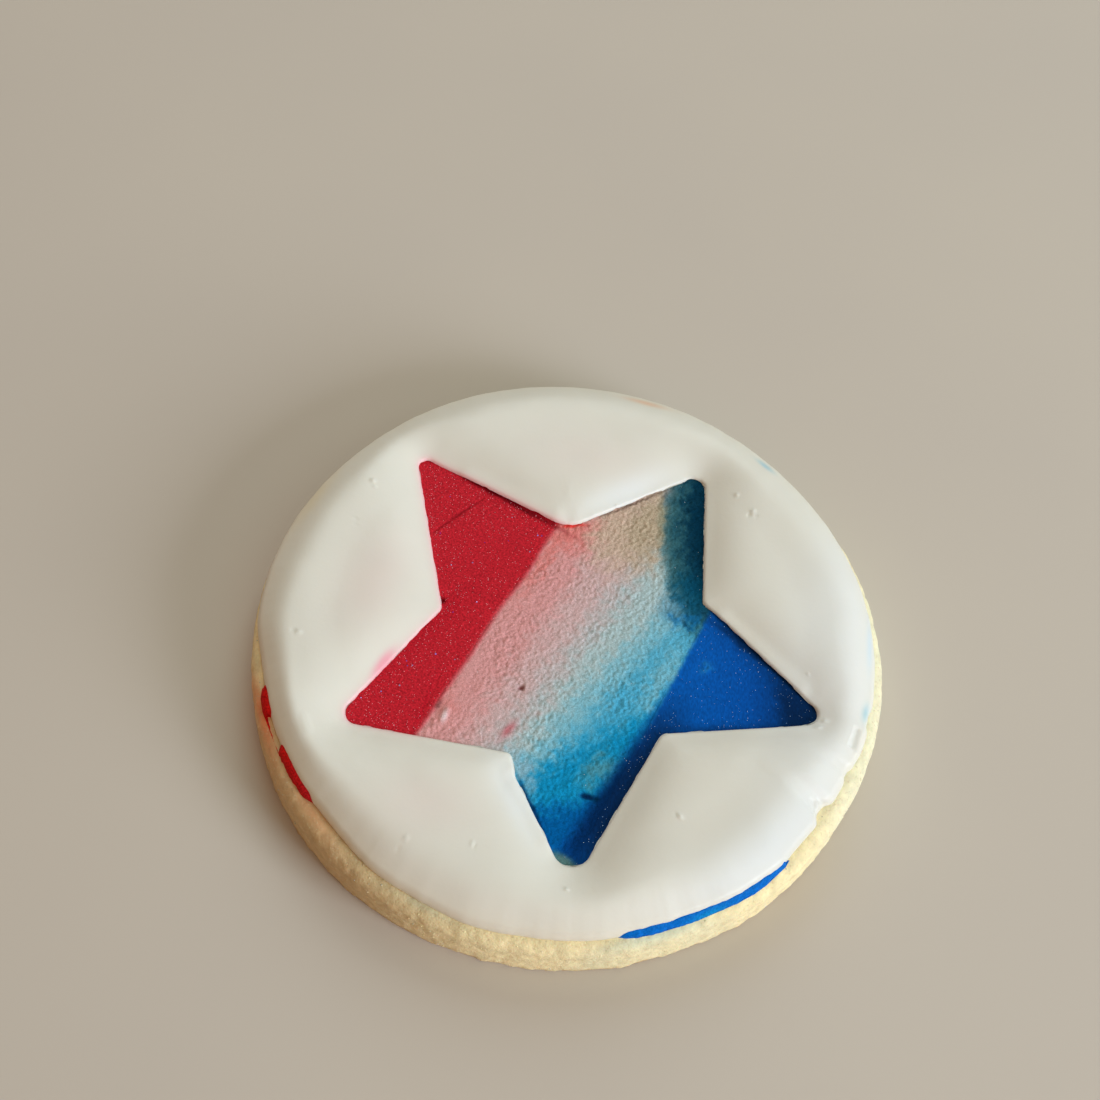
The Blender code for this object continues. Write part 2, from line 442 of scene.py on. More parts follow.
@dataclass(frozen=True)
class Rim:
    """Uneven round outline, as a radius for each angle."""

    radius: float
    swells: tuple[Swell, ...]
    stretches: tuple[Stretch, ...]
    roughness: float
    pitch: float
    grain: Grain

    def at(self, degrees: Array) -> Array:
        """Radius in metres at each angle in degrees.

        Args:
            degrees: angles around the rim.

        Returns:
            One radius for each angle.
        """
        radius = np.full(np.shape(degrees), self.radius)
        for swell in self.swells:
            radius = radius + swell.height * np.cos(swell.waves * np.radians(degrees - swell.crest))
        for stretch in self.stretches:
            radius = radius + stretch.at(degrees)
        around = polar(np.full(np.shape(degrees), self.radius * MM), degrees)
        return (radius + self.roughness * self.grain.layered(around, self.pitch * MM)) * MM


@dataclass(frozen=True)
class Corner:
    """One corner of the star: reach and angle from its centre, and the round on it, in millimetres and degrees."""

    reach: float
    angle: float
    rounding: float


@dataclass(frozen=True)
class StarOpening:
    """Outline of the star left open in the white coat."""

    centre: tuple[float, float] = (0.5, -1.1)
    corners: tuple[Corner, ...] = (
        Corner(35.9, 133.4, 1.2),
        Corner(17.2, 98.3, 4.6),
        Corner(33.1, 61.5, 1.6),
        Corner(18.3, 25.9, 1.1),
        Corner(34.4, -12.2, 1.5),
        Corner(16.9, -43.3, 1.6),
        Corner(32.9, -84.9, 2.3),
        Corner(20.6, -104.5, 1.6),
        Corner(17.8, -109.8, 1.0),
        Corner(32.3, -151.5, 1.6),
        Corner(17.6, 172.9, 1.5),
    )
    waver: float = 0.10
    waver_pitch: float = 2.6
    turn_cost: float = 40.0
    half_arc: int = 8
    side_steps: int = 11
    grain: Grain = Grain(31)

    def _arc(self, index: int) -> Array:
        """Points that round one corner, in metres.

        Args:
            index: which corner.

        Returns:
            The arc's points, clockwise around the star.
        """
        places = [polar(item.reach * MM, item.angle) + np.array(self.centre) * MM for item in self.corners]
        before, here, after = places[index - 1], places[index], places[(index + 1) % len(places)]
        to_before = (before - here) / np.linalg.norm(before - here)
        to_after = (after - here) / np.linalg.norm(after - here)
        half = math.acos(float(np.clip(to_before @ to_after, -1.0, 1.0))) / 2.0
        rounding = self.corners[index].rounding * MM
        middle = (to_before + to_after) / np.linalg.norm(to_before + to_after)
        centre = here + middle * rounding / math.sin(half)
        start = here + to_before * rounding / math.tan(half) - centre
        end = here + to_after * rounding / math.tan(half) - centre
        first = math.atan2(start[1], start[0])
        sweep = (math.atan2(end[1], end[0]) - first + math.pi) % (2.0 * math.pi) - math.pi
        turns = first + sweep * np.linspace(0.0, 1.0, 2 * self.half_arc + 1)
        return centre + rounding * np.stack([np.cos(turns), np.sin(turns)], axis=1)

    def edges(self) -> list[Array]:
        """The sides, each from the middle of one corner's round to the middle of the next.

        Returns:
            One row of points in metres for each side.
        """
        arcs = [self._arc(index) for index in range(len(self.corners))]
        sides = []
        for arc, following in zip(arcs, arcs[1:] + arcs[:1]):
            straight = np.linspace(arc[-1], following[0], self.side_steps + 1)[1:-1]
            sides.append(np.concatenate([arc[self.half_arc:], straight, following[:self.half_arc + 1]]))
        return sides

    def outline(self, count: int) -> Array:
        """The whole outline, spread so that lines drawn from it to the rim are evenly spaced.

        Args:
            count: how many points.

        Returns:
            Flat points in metres, clockwise, with the hand-cut waver of the edge.
        """
        loop = np.concatenate([side[:-1] for side in self.edges()])
        loop = np.concatenate([loop, loop[:1]])
        steps = np.diff(loop, axis=0)
        lengths = np.linalg.norm(steps, axis=1)
        away = loop - np.array(self.centre) * MM
        bearing = np.unwrap(np.arctan2(away[:, 1], away[:, 0]))
        cost = lengths + self.turn_cost * MM * np.abs(np.diff(bearing))
        total = np.concatenate([[0.0], np.cumsum(cost)])
        wanted = np.linspace(0.0, total[-1], count, endpoint=False)
        points = np.stack([np.interp(wanted, total, loop[:, axis]) for axis in (0, 1)], axis=1)
        ahead = np.roll(points, -2, axis=0) - np.roll(points, 2, axis=0)
        waver = self.waver * MM * self.grain.layered(points, self.waver_pitch * MM)
        return points + left_of(ahead) * waver[:, None]

    def distances(self, points: Array) -> Array:
        """Distance of each point from each of the sides.

        Args:
            points: flat points in metres.

        Returns:
            One row for each point and one column for each side.
        """
        columns = []
        for side in self.edges():
            nearest = np.full(len(points), np.inf)
            for start, end in zip(side[:-1], side[1:]):
                along = end - start
                share = np.clip((points - start) @ along / (along @ along), 0.0, 1.0)
                gap = points - start - share[:, None] * along
                nearest = np.minimum(nearest, np.einsum("ij,ij->i", gap, gap))
            columns.append(np.sqrt(nearest))
        return np.stack(columns, axis=1)

    def inside(self, points: Array) -> Array:
        """Whether each flat point lies in the star.

        Args:
            points: flat points in metres.

        Returns:
            True for each point in the star.
        """
        loop = np.concatenate([side[:-1] for side in self.edges()])
        within = np.zeros(len(points), dtype=bool)
        for (x0, y0), (x1, y1) in zip(loop, np.roll(loop, -1, axis=0)):
            crosses = (y0 > points[:, 1]) != (y1 > points[:, 1])
            reach = (x1 - x0) * (points[:, 1] - y0) / (y1 - y0 if y1 != y0 else 1.0) + x0
            within ^= crosses & (points[:, 0] < reach)
        return within


# ---- Meshes ----


def add_object(name: str, data: bpy.types.ID) -> bpy.types.Object:
    """Put new data in the scene as an object at the origin.

    Args:
        name: the object's name.
        data: its mesh, light or camera.

    Returns:
        The new object.
    """
    item = bpy.data.objects.new(name, data)
    bpy.context.scene.collection.objects.link(item)
    return item


def mesh_object(name: str, points: Array, faces: Sequence[Sequence[int]], smooth: bool = True) -> bpy.types.Object:
    """Make a mesh object and put it in the scene.

    Args:
        name: the piece's name.
        points: three columns in metres.
        faces: corner numbers of each face, anticlockwise seen from outside.
        smooth: whether the faces are shaded smooth.

    Returns:
        The new object, at the origin.
    """
    mesh = bpy.data.meshes.new(name)
    mesh.from_pydata(points.tolist(), [], faces)
    mesh.validate()
    mesh.polygons.foreach_set("use_smooth", [smooth] * len(mesh.polygons))
    mesh.update()
    return add_object(name, mesh)


def set_tone(
    piece: bpy.types.Object,
    screen: Array,
    share: float | tuple[float, float, float] = LIGHT_SHARE,
) -> None:
    """Store a colour on each corner point of a mesh.

    Args:
        piece: the mesh object.
        screen: screen colours, one row for each point.
        share: part of the light that the studio's lamps send back from a white surface there.
    """
    layer = piece.data.color_attributes.new(TONE, "FLOAT_COLOR", "POINT")
    linear = np.clip(to_linear(np.clip(screen, 0.0, 1.0)) / np.array(share), 0.0, PALEST)
    packed = np.column_stack([linear, np.ones(len(linear))]).astype(np.float32)
    layer.data.foreach_set("color", packed.ravel())


def set_number(piece: bpy.types.Object, name: str, values: Array) -> None:
    """Store a number on each corner point of a mesh under a name."""
    layer = piece.data.attributes.new(name, "FLOAT", "POINT")
    layer.data.foreach_set("value", values.astype(np.float32))


def crease(piece: bpy.types.Object, pairs: set[tuple[int, int]]) -> None:
    """Keep the shading crisp along some edges of a mesh.

    Args:
        piece: the mesh object.
        pairs: the two point numbers of each edge, the smaller one first.
    """
    mesh = piece.data
    ends = np.empty(len(mesh.edges) * 2, dtype=np.int32)
    mesh.edges.foreach_get("vertices", ends)
    ends = np.sort(ends.reshape(-1, 2), axis=1)
    wanted = [tuple(pair) in pairs for pair in ends.tolist()]
    layer = mesh.attributes.new("sharp_edge", "BOOLEAN", "EDGE")
    layer.data.foreach_set("value", wanted)


def ring_faces(rings: int, sectors: int, closed: bool = False) -> list[tuple[int, int, int, int]]:
    """Faces between rings of points that are stored one ring after another.

    Args:
        rings: how many rings.
        sectors: points on each ring.
        closed: whether the last ring meets the first again.

    Returns:
        Corner numbers of each face.
    """
    faces = []
    for ring in range(rings if closed else rings - 1):
        low, high = ring * sectors, (ring + 1) % rings * sectors
        for index in range(sectors):
            nearby = (index + 1) % sectors
            faces.append((low + index, low + nearby, high + nearby, high + index))
    return faces


# ---- Finishes ----


@dataclass
class NodeDesk:
    """Short ways to lay out the nodes of one tree."""

    tree: bpy.types.NodeTree

    def add(self, kind: str, inputs: Mapping[str | int, object] | None = None, **settings: object) -> bpy.types.Node:
        """Add a node.

        Args:
            kind: the node's type.
            inputs: for each input, a socket to link to it or a value to set.
            settings: the node's plain properties.

        Returns:
            The new node.
        """
        node = self.tree.nodes.new(kind)
        for name, value in settings.items():
            setattr(node, name, value)
        self.feed(node, inputs or {})
        return node

    def feed(self, node: bpy.types.Node, inputs: Mapping[str | int, object]) -> None:
        """Link sockets to a node's inputs, or set their values.

        Args:
            node: the node.
            inputs: for each input, a socket or a value.
        """
        for name, value in inputs.items():
            if isinstance(value, bpy.types.NodeSocket):
                self.tree.links.new(value, node.inputs[name])
            else:
                node.inputs[name].default_value = value


@dataclass
class FinishDesk(NodeDesk):
    """Short ways to lay out the nodes of one material."""

    material: bpy.types.Material

    @classmethod
    def fresh(cls, name: str) -> FinishDesk:
        """Start a material with its own Principled shader.

        Args:
            name: the material's name.

        Returns:
            A desk for the new material.
        """
        material = bpy.data.materials.new(name)
        material.use_nodes = True
        return cls(material.node_tree, material)

    def finish(self, **inputs: object) -> bpy.types.Material:
        """Feed the Principled shader, with underscores for the spaces in its inputs' names.

        Args:
            inputs: for each input, a socket or a value.

        Returns:
            The finished material.
        """
        shader = self.tree.nodes["Principled BSDF"]
        self.feed(shader, {name.replace("_", " "): value for name, value in inputs.items()})
        return self.material

    def noise(
        self,
        pitch: float,
        detail: float = 2.0,
        stretch: tuple[float, float, float] = (1.0, 1.0, 1.0),
        turn: float = 0.0,
    ) -> bpy.types.NodeSocket:
        """Noise on the piece's own coordinates.

        Args:
            pitch: size of its lumps in millimetres.
            detail: octaves on top of the first.
            stretch: how much longer the lumps are along each axis.
            turn: turn of the pattern about the vertical, in degrees.

        Returns:
            The socket with a number between 0 and 1.
        """
        mapping = self.add("ShaderNodeMapping", {
            "Vector": self.add("ShaderNodeTexCoord").outputs["Object"],
            "Rotation": (0.0, 0.0, math.radians(turn)),
            "Scale": tuple(1.0 / (pitch * MM * part) for part in stretch),
        })
        inputs = {"Vector": mapping.outputs["Vector"], "Scale": 1.0, "Detail": detail}
        return self.add("ShaderNodeTexNoise", inputs).outputs["Fac"]

    def spread(
        self,
        source: bpy.types.NodeSocket,
        low: float,
        high: float,
        start: float = 0.3,
        end: float = 0.7,
    ) -> bpy.types.NodeSocket:
        """A number mapped from the range start to end on to the range low to high."""
        inputs = {"Value": source, "From Min": start, "From Max": end, "To Min": low, "To Max": high}
        return self.add("ShaderNodeMapRange", inputs).outputs["Result"]

    def scaled_tone(self, amount: bpy.types.NodeSocket) -> bpy.types.NodeSocket:
        """The painted tone made lighter or darker by a number around 1."""
        tone = self.add("ShaderNodeVertexColor", layer_name=TONE).outputs["Color"]
        return self.add("ShaderNodeVectorMath", {0: tone, "Scale": amount}, operation="SCALE").outputs["Vector"]

    def mixed(
        self,
        amount: bpy.types.NodeSocket,
        first: bpy.types.NodeSocket | tuple[float, float, float, float],
        second: Tint,
    ) -> bpy.types.NodeSocket:
        """A colour moved towards a tint by an amount between 0 and 1."""
        inputs = {"Factor": amount, "A": first, "B": second.linear}
        return self.add("ShaderNodeMix", inputs, data_type="RGBA").outputs["Result"]

    def bump(
        self,
        height: bpy.types.NodeSocket,
        depth: float,
        under: bpy.types.NodeSocket | None = None,
    ) -> bpy.types.NodeSocket:
        """Fine relief.

        Args:
            height: number between 0 and 1.
            depth: full depth of the relief in millimetres.
            under: a coarser relief that this one is laid on.

        Returns:
            The socket with the bent normal.
        """
        inputs = {"Height": height, "Strength": 1.0, "Distance": depth * MM}
        if under is not None:
            inputs["Normal"] = under
        return self.add("ShaderNodeBump", inputs).outputs["Normal"]


@dataclass(frozen=True)
class WhiteIcingFinish:
    """Dried white icing: smooth and satin, slightly see-through."""

    name: str = "white_icing_finish"
    cloud_pitch: float = 9.0
    mottle: tuple[float, float] = (0.985, 1.015)
    satin_pitch: float = 1.6
    roughness: tuple[float, float] = (0.40, 0.52)
    peel_pitch: float = 0.55
    orange_peel: float = 0.010

    def build(self) -> bpy.types.Material:
        """Make the material.

        Returns:
            The finished material.
        """
        desk = FinishDesk.fresh(self.name)
        return desk.finish(
            Base_Color=desk.scaled_tone(desk.spread(desk.noise(self.cloud_pitch, 3.0), *self.mottle)),
            Roughness=desk.spread(desk.noise(self.satin_pitch), *self.roughness),
            Normal=desk.bump(desk.noise(self.peel_pitch), self.orange_peel),
            Subsurface_Weight=0.12,
            Subsurface_Scale=1.0 * MM,
            Subsurface_Radius=(1.0, 0.8, 0.6),
            IOR=1.45,
            Specular_IOR_Level=0.45,
        )


@dataclass(frozen=True)
class BandFinish:
    """Dried coloured icing with its own grain.

    Args:
        name: the material's name.
        roughness: lowest and highest roughness.
        grain_pitch: size of the grain in millimetres.
        grain_depth: depth of the grain in millimetres.
        shade: how much darker and lighter the grain makes the colour.
        fibre: how much longer than wide the fine streaks are.
        fibre_turn: turn of the streaks in degrees.
        gloss: strength of the shine, 0.5 for plain gloss.
        satin_pitch: size of the duller and shinier patches in millimetres.
        coarser: how much coarser the deep grain is than the fine grain.
        shallower: depth of the fine grain as a share of the deep grain's.
    """

    name: str
    roughness: tuple[float, float]
    grain_pitch: float
    grain_depth: float
    shade: tuple[float, float]
    fibre: float = 1.0
    fibre_turn: float = 20.0
    gloss: float = 0.03
    satin_pitch: float = 1.1
    coarser: float = 2.2
    shallower: float = 0.6

    def build(self) -> bpy.types.Material:
        """Make the material.

        Returns:
            The finished material.
        """
        desk = FinishDesk.fresh(self.name)
        fine = desk.noise(self.grain_pitch, 3.0, stretch=(1.0, self.fibre, 1.0), turn=self.fibre_turn)
        deep = desk.bump(desk.noise(self.grain_pitch * self.coarser), self.grain_depth)
        return desk.finish(
            Base_Color=desk.scaled_tone(desk.spread(fine, *self.shade)),
            Roughness=desk.spread(desk.noise(self.satin_pitch), *self.roughness),
            Normal=desk.bump(fine, self.grain_depth * self.shallower, deep),
            IOR=1.45,
            Specular_IOR_Level=self.gloss,
        )


@dataclass(frozen=True)
class BiscuitFinish:
    """Baked dough: dry, matt and crumbly, with open pores and specks of butter."""

    name: str = "baked_dough_finish"
    roughness: tuple[float, float] = (0.78, 0.95)
    mottle: tuple[float, float] = (0.87, 1.08)
    pore_pitch: float = 0.42
    fleck_pitch: float = 0.30
    crumb_pitch: float = 0.80
    crumb_depth: float = 0.11
    grit_pitch: float = 0.24
    grit_depth: float = 0.07

    def build(self) -> bpy.types.Material:
        """Make the material.

        Returns:
            The finished material.
        """
        desk = FinishDesk.fresh(self.name)
        tone = desk.scaled_tone(desk.spread(desk.noise(1.3, 5.0), *self.mottle))
        pores = desk.spread(desk.noise(self.pore_pitch), 0.40, 0.0, 0.26, 0.42)
        tone = desk.mixed(pores, tone, Tint.GOLDEN)
        flecks = desk.spread(desk.noise(self.fleck_pitch, 1.0), 0.0, 0.35, 0.62, 0.74)
        tone = desk.mixed(flecks, tone, Tint.PALE_BUTTER)
        crumb = desk.bump(desk.noise(self.crumb_pitch, 3.0), self.crumb_depth)
        return desk.finish(
            Base_Color=tone,
            Roughness=desk.spread(desk.noise(0.8, 1.0), *self.roughness),
            Normal=desk.bump(desk.noise(self.grit_pitch, 3.0), self.grit_depth, crumb),
            Subsurface_Weight=0.08,
            Subsurface_Scale=0.8 * MM,
            Specular_IOR_Level=0.25,
        )


@dataclass(frozen=True)
class SparkFinish:
    """Bright speck: glitter dust or a grain of sugar."""

    name: str
    tint: Tint
    roughness: float
    metallic: float
    clear: float = 0.0

    def build(self) -> bpy.types.Material:
        """Make the material.

        Returns:
            The finished material.
        """
        desk = FinishDesk.fresh(self.name)
        paler = desk.spread(desk.noise(0.9, 0.0), 0.0, 0.5)
        return desk.finish(
            Base_Color=desk.mixed(paler, self.tint.linear, Tint.SILVER),
            Roughness=self.roughness,
            Metallic=self.metallic,
            Transmission_Weight=self.clear,
        )


@dataclass(frozen=True)
class FloorFinish:
    """Plain pale floor with the faintest mottle."""

    name: str = "studio_floor_finish"

    def build(self) -> bpy.types.Material:
        """Make the material.

        Returns:
            The finished material.
        """
        desk = FinishDesk.fresh(self.name)
        mottle = desk.spread(desk.noise(60.0), 0.0, 0.15)
        tone = desk.mixed(mottle, Tint.FLOOR.linear, Tint.WARM_GREY)
        return desk.finish(Base_Color=tone, Roughness=0.9, Specular_IOR_Level=0.2)


# ---- Layers ----


@dataclass(frozen=True)
class Levels:
    """Heights of the layers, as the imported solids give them, in metres."""

    biscuit: float
    coat: float
    white: float

    @classmethod
    def from_frame(cls) -> Levels:
        """Read the heights from the frame's solids."""
        return cls(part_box("biscuit")[1][2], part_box("icing_pale")[1][2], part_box("icing_white")[1][2])


class Detail(Enum):
    """How finely the meshes are made."""

    DRAFT = 2.0
    FULL = 1.0


@dataclass(frozen=True)
class Biscuit:
    """The baked slab under the icing, with lengths in millimetres."""

    levels: Levels
    detail: Detail
    rim: Rim = Rim(
        radius=41.62,
        swells=(Swell(2, 0.14, -120), Swell(3, 0.16, -118), Swell(5, 0.08, -130)),
        stretches=(Stretch(-76, -52, -0.25, 8, 8), Stretch(-30, 10, 0.15, 10, 10)),
        roughness=0.07,
        pitch=2.2,
        grain=Grain(5),
    )
    shoulder: float = 2.0
    foot: float = 0.5
    draw_in: float = 0.35
    sectors: int = 960
    under_rings: tuple[float, float, int] = (0.04, 0.93, 22)
    foot_rings: int = 5
    wall_rings: int = 24
    shoulder_rings: int = 13
    top_shares: tuple[float, ...] = (0.985, 0.97, 0.955, 0.9, 0.6, 0.1)
    crumb_depth: float = 0.08
    crumb_pitch: float = 1.3
    pore_depth: float = 0.12
    pore_pitch: float = 0.9
    rag_depth: float = 0.30
    rag_pitch: float = 2.4
    rag_height: float = 1.6
    top_crumb: float = 0.35
    patch_pitch: float = 6.0
    foot_toast: float = 0.30
    under_toast: float = 0.75
    bare_from: float = 38.5
    crumb: Grain = Grain(11)

    def profile(self) -> list[tuple[float, float, float, float, float]]:
        """Half section from the middle of the underside, out, up and over to the middle of the top.

        Returns:
            Rows of inset from the rim in metres, share of the radius kept, height in metres, and the outward and
            upward parts of the surface's direction.
        """
        height = self.levels.biscuit
        rows = [(0.0, share, 0.0, 0.0, -1.0) for share in np.linspace(*self.under_rings)]
        foot = self.foot * MM
        for turn in np.radians(np.linspace(-90, 0, self.foot_rings)):
            out, up = math.cos(turn), math.sin(turn)
            rows.append((foot * (1 - out), 1.0, foot * (1 + up), out, up))
        shoulder = self.shoulder * MM
        for level in np.linspace(foot, height - shoulder, self.wall_rings)[1:-1]:
            inset = self.draw_in * MM * (level / height) ** 2
            rows.append((inset, 1.0, level, 1.0, 0.0))
        lean = self.draw_in * MM * (1 - shoulder / height) ** 2
        for turn in np.radians(np.linspace(0, 90, self.shoulder_rings)):
            out, up = math.cos(turn), math.sin(turn)
            rows.append((lean + shoulder * (1 - out), 1.0, height - shoulder * (1 - up), out, up))
        return rows + [(lean + shoulder, share, height, 0.0, 1.0) for share in self.top_shares]

    def tone(self, points: Array, outward: Array) -> Array:
        """Screen colours: pale dough, toasted underneath, stained where the icing ran on to it, with painted light
        on the right side and painted shade on the lower left.

        Args:
            points: three columns in metres.
            outward: outward and upward parts of the surface's direction.

        Returns:
            Screen colours, one row for each point.
        """
        passes = (
            # Painted light: paler, cooler dough on the right side, where the window light falls.
            Mist((41.0, -6.0), 26.0, 9.0, 90.0, Tint.PALE_BUTTER, 0.85, 2.0),
            Mist((0.0, -41.0), 26.0, 8.0, 0.0, Tint.SHORTBREAD, 0.5, 2.0),
            # Painted shade: darker golden dough on the lower left, the side away from the lamps.
            Mist((-30.0, -29.0), 24.0, 9.0, -46.0, Tint.GOLDEN, 0.75, 1.5),
            Mist((-36.9, -16.6), 5.5, 0.7, -64.0, Tint.ORANGE_STAIN, 0.7),
            Mist((-28.5, -28.0), 5.5, 1.0, -47.0, Tint.APRICOT, 0.45),
            Mist((-13.5, -37.8), 3.6, 0.5, -20.0, Tint.SKY_STAIN, 0.14),
            Mist((14.0, -37.8), 7.0, 0.7, 22.0, Tint.SKY_STAIN, 0.25),
        )
        colours = paint(points[:, :2], Tint.SHORTBREAD, passes)
        low = 1.0 - smooth_step(0.0, 2.0 * MM, points[:, 2])
        patch = 0.5 + 0.5 * self.crumb.layered(points, self.patch_pitch * MM)
        under = smooth_step(-0.2, -0.9, outward[:, 1])
        toast = self.foot_toast * low * patch + self.under_toast * under * (0.6 + 0.4 * patch)
        return blend(colours, Tint.TOASTED.screen, np.clip(toast, 0.0, 1.0))

    def relief(self, points: Array, outward: Array) -> Array:
        """Depth of the crumb at each point: lumps and pores all over, and a ragged foot.

        Args:
            points: three columns in metres.
            outward: outward and upward parts of the surface's direction.

        Returns:
            Depths in metres, none above zero.
        """
        lumps = self.crumb.layered(points, self.crumb_pitch * MM, 4, 0.6)
        pores = np.minimum(0.0, self.crumb.layered(points, self.pore_pitch * MM, 2, draw=1.0) + 0.25)
        rag = 1.0 - smooth_step(0.0, self.rag_height * MM, points[:, 2])
        side = smooth_step(0.15, 0.8, outward[:, 0])
        roughness = self.crumb_depth * (self.top_crumb + (1.0 - self.top_crumb) * side)
        depth = roughness * (lumps - 0.5) + self.pore_depth * pores
        depth -= self.rag_depth * rag * side * (0.6 + self.crumb.layered(points, self.rag_pitch * MM, 3))
        depth *= np.where((outward[:, 1] < -0.5), 0.5, 1.0) * MM
        return np.minimum(depth, 0.0)

    def build(self) -> bpy.types.Object:
        """Make the biscuit.

        Returns:
            The biscuit's object.
        """
        sectors = int(self.sectors / self.detail.value)
        degrees = np.linspace(0.0, 360.0, sectors, endpoint=False)
        radius = self.rim.at(degrees)
        rows = self.profile()
        around = polar(np.ones(sectors), degrees)
        points = np.concatenate([
            raised(around * ((radius - inset) * share)[:, None], height) for inset, share, height, _, _ in rows
        ])
        outward = np.concatenate([np.tile(row[3:], (sectors, 1)) for row in rows])
        depth = self.relief(points, outward)
        away = points[:, :2] / np.maximum(1e-9, radius_of(points))[:, None]
        points[:, :2] += away * (depth * outward[:, 0])[:, None]
        points[:, 2] += depth * outward[:, 1]
        count = len(points)
        faces: list[Sequence[int]] = list(ring_faces(len(rows), sectors))
        points = np.vstack([points, [[0.0, 0.0, 0.0]], [[0.0, 0.0, self.levels.biscuit]]])
        outward = np.vstack([outward, [[0.0, -1.0]], [[0.0, 1.0]]])
        for index in range(sectors):
            nearby = (index + 1) % sectors
            faces.append((count, nearby, index))
            faces.append((count + 1, count - sectors + index, count - sectors + nearby))
        piece = mesh_object("biscuit_crumb", points, faces)
        set_tone(piece, self.tone(points, outward))
        wall = smooth_step(0.2, 0.7, outward[:, 0]) * smooth_step(0.2 * MM, 0.8 * MM, points[:, 2])
        ledge = (outward[:, 1] > 0.5) & (radius_of(points) > self.bare_from * MM)
        set_number(piece, SPARKLE, np.maximum(wall, ledge * 0.7))
        piece.data.materials.append(BiscuitFinish().build())
        return piece


class Band(Enum):
    """The three bands of the first coat."""

    RED = "icing_red"
    PALE = "icing_pale"
    BLUE = "icing_blue"

    @property
    def finish(self) -> BandFinish:
        """Finish of the band.

        Returns:
            The finish, not yet built.
        """
        if self is Band.RED:
            return BandFinish("red_icing_finish", (0.42, 0.60), 0.24, 0.065, (0.62, 1.36))
        if self is Band.PALE:
            return BandFinish("pale_icing_finish", (0.80, 0.92), 0.17, 0.085, (0.80, 1.20))
        return BandFinish("blue_icing_finish", (0.42, 0.55), 0.24, 0.016, (0.78, 1.24), 2.2)


